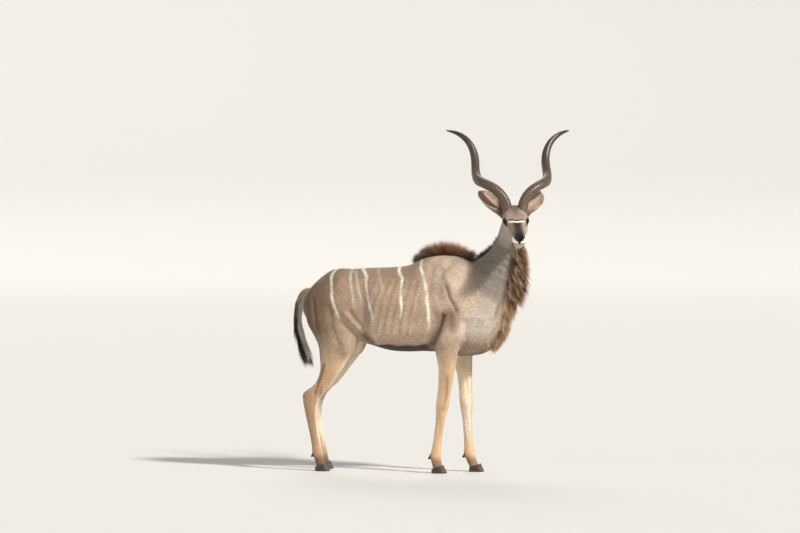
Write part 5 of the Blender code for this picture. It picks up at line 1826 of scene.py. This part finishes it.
def hoof_material():
    """Hoof horn: dark keratin, dull from wear, with fine rings about 2.5 mm apart round the wall."""
    made, shader = new_material("worn hoof horn", 0.5)
    place = add_node(made, "ShaderNodeTexCoord").outputs["Object"]
    waves = {"Scale": 1000 / 2.5 / 20, "Distortion": 2.0, "Detail": 2.0, "Detail Scale": 1.5}
    bands = add_node(made, "ShaderNodeTexWave", {"wave_type": "BANDS", "bands_direction": "Z"}, waves,
                     {"Vector": place})
    mix_paints(made, shader, add_noise(made, place, 1000 / 90, 4.0, 0.5), "1F1A17", "4A4038")
    add_bump(made, shader, bands.outputs["Fac"], 0.35, 0.8)
    return made


hoof_horn = hoof_material()
FEET = {
    ("fore", "right"): Vector((FORE_FOOT, -LEG_SPREAD_FORE, 0)),
    ("fore", "left"): Vector((FORE_FOOT + FAR_FORE_STEP, LEG_SPREAD_FORE, 0)),
    ("hind", "right"): Vector((HIND_FOOT, -LEG_SPREAD_HIND, 0)),
    ("hind", "left"): Vector((HIND_FOOT + FAR_HIND_STEP, LEG_SPREAD_HIND, 0)),
}
for (end, leg), foot in FEET.items():
    for side, word in SIDES:
        place_name = f"{end}_{leg}_{word}"
        put_in_place(claw(foot, side, f"claw_{place_name}"), hoof_horn, [f"{end}hoof_{leg}_{word}"])
        put_in_place(dewclaw(foot, side, f"dewclaw_{place_name}"), hoof_horn)

# %% Put the skins in their place
put_in_place(hide, short_hide,
             ["torso", "neck", "foreleg_left", "foreleg_right", "hindleg_left", "hindleg_right"])
put_in_place(face, short_hide, ["head"])
put_in_place(tail, short_hide, ["tail"])

# %% [markdown]
# ## Stage, light and camera
# The model stands on a pale floor that curves up far away into a pale wall on every side, so that
# there is no edge in any view. The main light comes from the right, as through a far window, and
# so shows the muscles. Two wider and softer lights and pale air open the shadows.

# %% A floor that turns into a backdrop
def pale_cloth():
    """Matt pale cloth. Where it hangs as the wall it glows a little, so that it is even all round."""
    made, shader = new_material("matt pale studio cloth", 0.9, Emission_Color=(1.0, 0.985, 0.96, 1.0))
    place = add_node(made, "ShaderNodeTexCoord").outputs["Object"]
    height = add_node(made, "ShaderNodeSeparateXYZ", links={"Vector": place}).outputs["Z"]
    wall = add_node(made, "ShaderNodeMapRange", values={"From Min": 0.0, "From Max": 1.5},
                    links={"Value": height}).outputs["Result"]
    mix_paints(made, shader, wall, "CFCDC9", "96948F")
    glow = add_node(made, "ShaderNodeMath", {"operation": "MULTIPLY"}, {1: 0.36}, {0: wall})
    made.node_tree.links.new(glow.outputs["Value"], shader.inputs["Emission Strength"])
    return made


bm = bmesh.new()
profile = [(0.0, 0.0), (30.0, 0.0), (40.0, 0.0), (46.0, 1.6), (50.0, 6.0), (51.0, 14.0), (51.0, 26.0)]
points = [bm.verts.new((r, 0, z)) for r, z in profile]
edges = [bm.edges.new(pair) for pair in zip(points, points[1:])]
bmesh.ops.spin(bm, geom=points + edges, cent=(0, 0, 0), axis=UP, angle=2 * math.pi, steps=96,
               use_merge=True)
bmesh.ops.remove_doubles(bm, verts=bm.verts, dist=1e-4)
bmesh.ops.recalc_face_normals(bm, faces=bm.faces)
floor = object_from(bm, "studio_floor")
floor.data.materials.append(pale_cloth())
floor.data.shade_smooth()
floor.visible_shadow = False  # the wall must not keep the light from the floor

# %% Lights
TARGET = Vector((0, 0, 1.271)) - OUTLINE_CENTRE


def look_from(name, data, azimuth, elevation, distance):
    """A lamp or camera turned to the target, this many degrees round from its right side and up."""
    a, e = math.radians(azimuth), math.radians(elevation)
    way = Vector((math.sin(a) * math.cos(e), -math.cos(a) * math.cos(e), math.sin(e)))
    made = add_object(name, data)
    made.location = TARGET + way * distance
    made.rotation_euler = way.to_track_quat("Z", "Y").to_euler()
    return made


def far_light(name, azimuth, elevation, width, strength, colour):
    """A light that falls the same everywhere, as from far off. Its width softens the shadows."""
    lamp = bpy.data.lights.new(name, "SUN")
    lamp.energy = strength
    lamp.angle = math.radians(width)
    lamp.color = colour
    look_from(name, lamp, azimuth, elevation, 30.0)


far_light("window", 64, 38, 6, 4.2, (1.0, 0.965, 0.91))
far_light("fill", -30, 20, 34, 0.35, (0.92, 0.96, 1.0))
far_light("back", 200, 35, 28, 0.90, (1.0, 0.98, 0.95))
world = bpy.data.worlds.new("pale studio air")
bpy.context.scene.world = world
world.use_nodes = True
air = world.node_tree.nodes["Background"].inputs
air["Color"].default_value = (0.88, 0.92, 0.98, 1.0)
air["Strength"].default_value = 0.30
bpy.context.scene.view_settings.view_transform = "Standard"

# %% [markdown]
# The camera stands 27.6 m away with a long lens, a little above the animal's back, 16 degrees ahead
# of square to its right side. That flattens the picture as a telephoto does.

# %% Camera
PIXEL = 0.0062  # metres of the animal that one pixel of an 800 pixel wide picture shows
DISTANCE = 27.6
lens = bpy.data.cameras.new("camera")
lens.sensor_width = 36.0
lens.lens = lens.sensor_width * DISTANCE / (800 * PIXEL)
lens.clip_end = 200.0
bpy.context.scene.camera = look_from("camera", lens, 16.0, 1.5, DISTANCE)
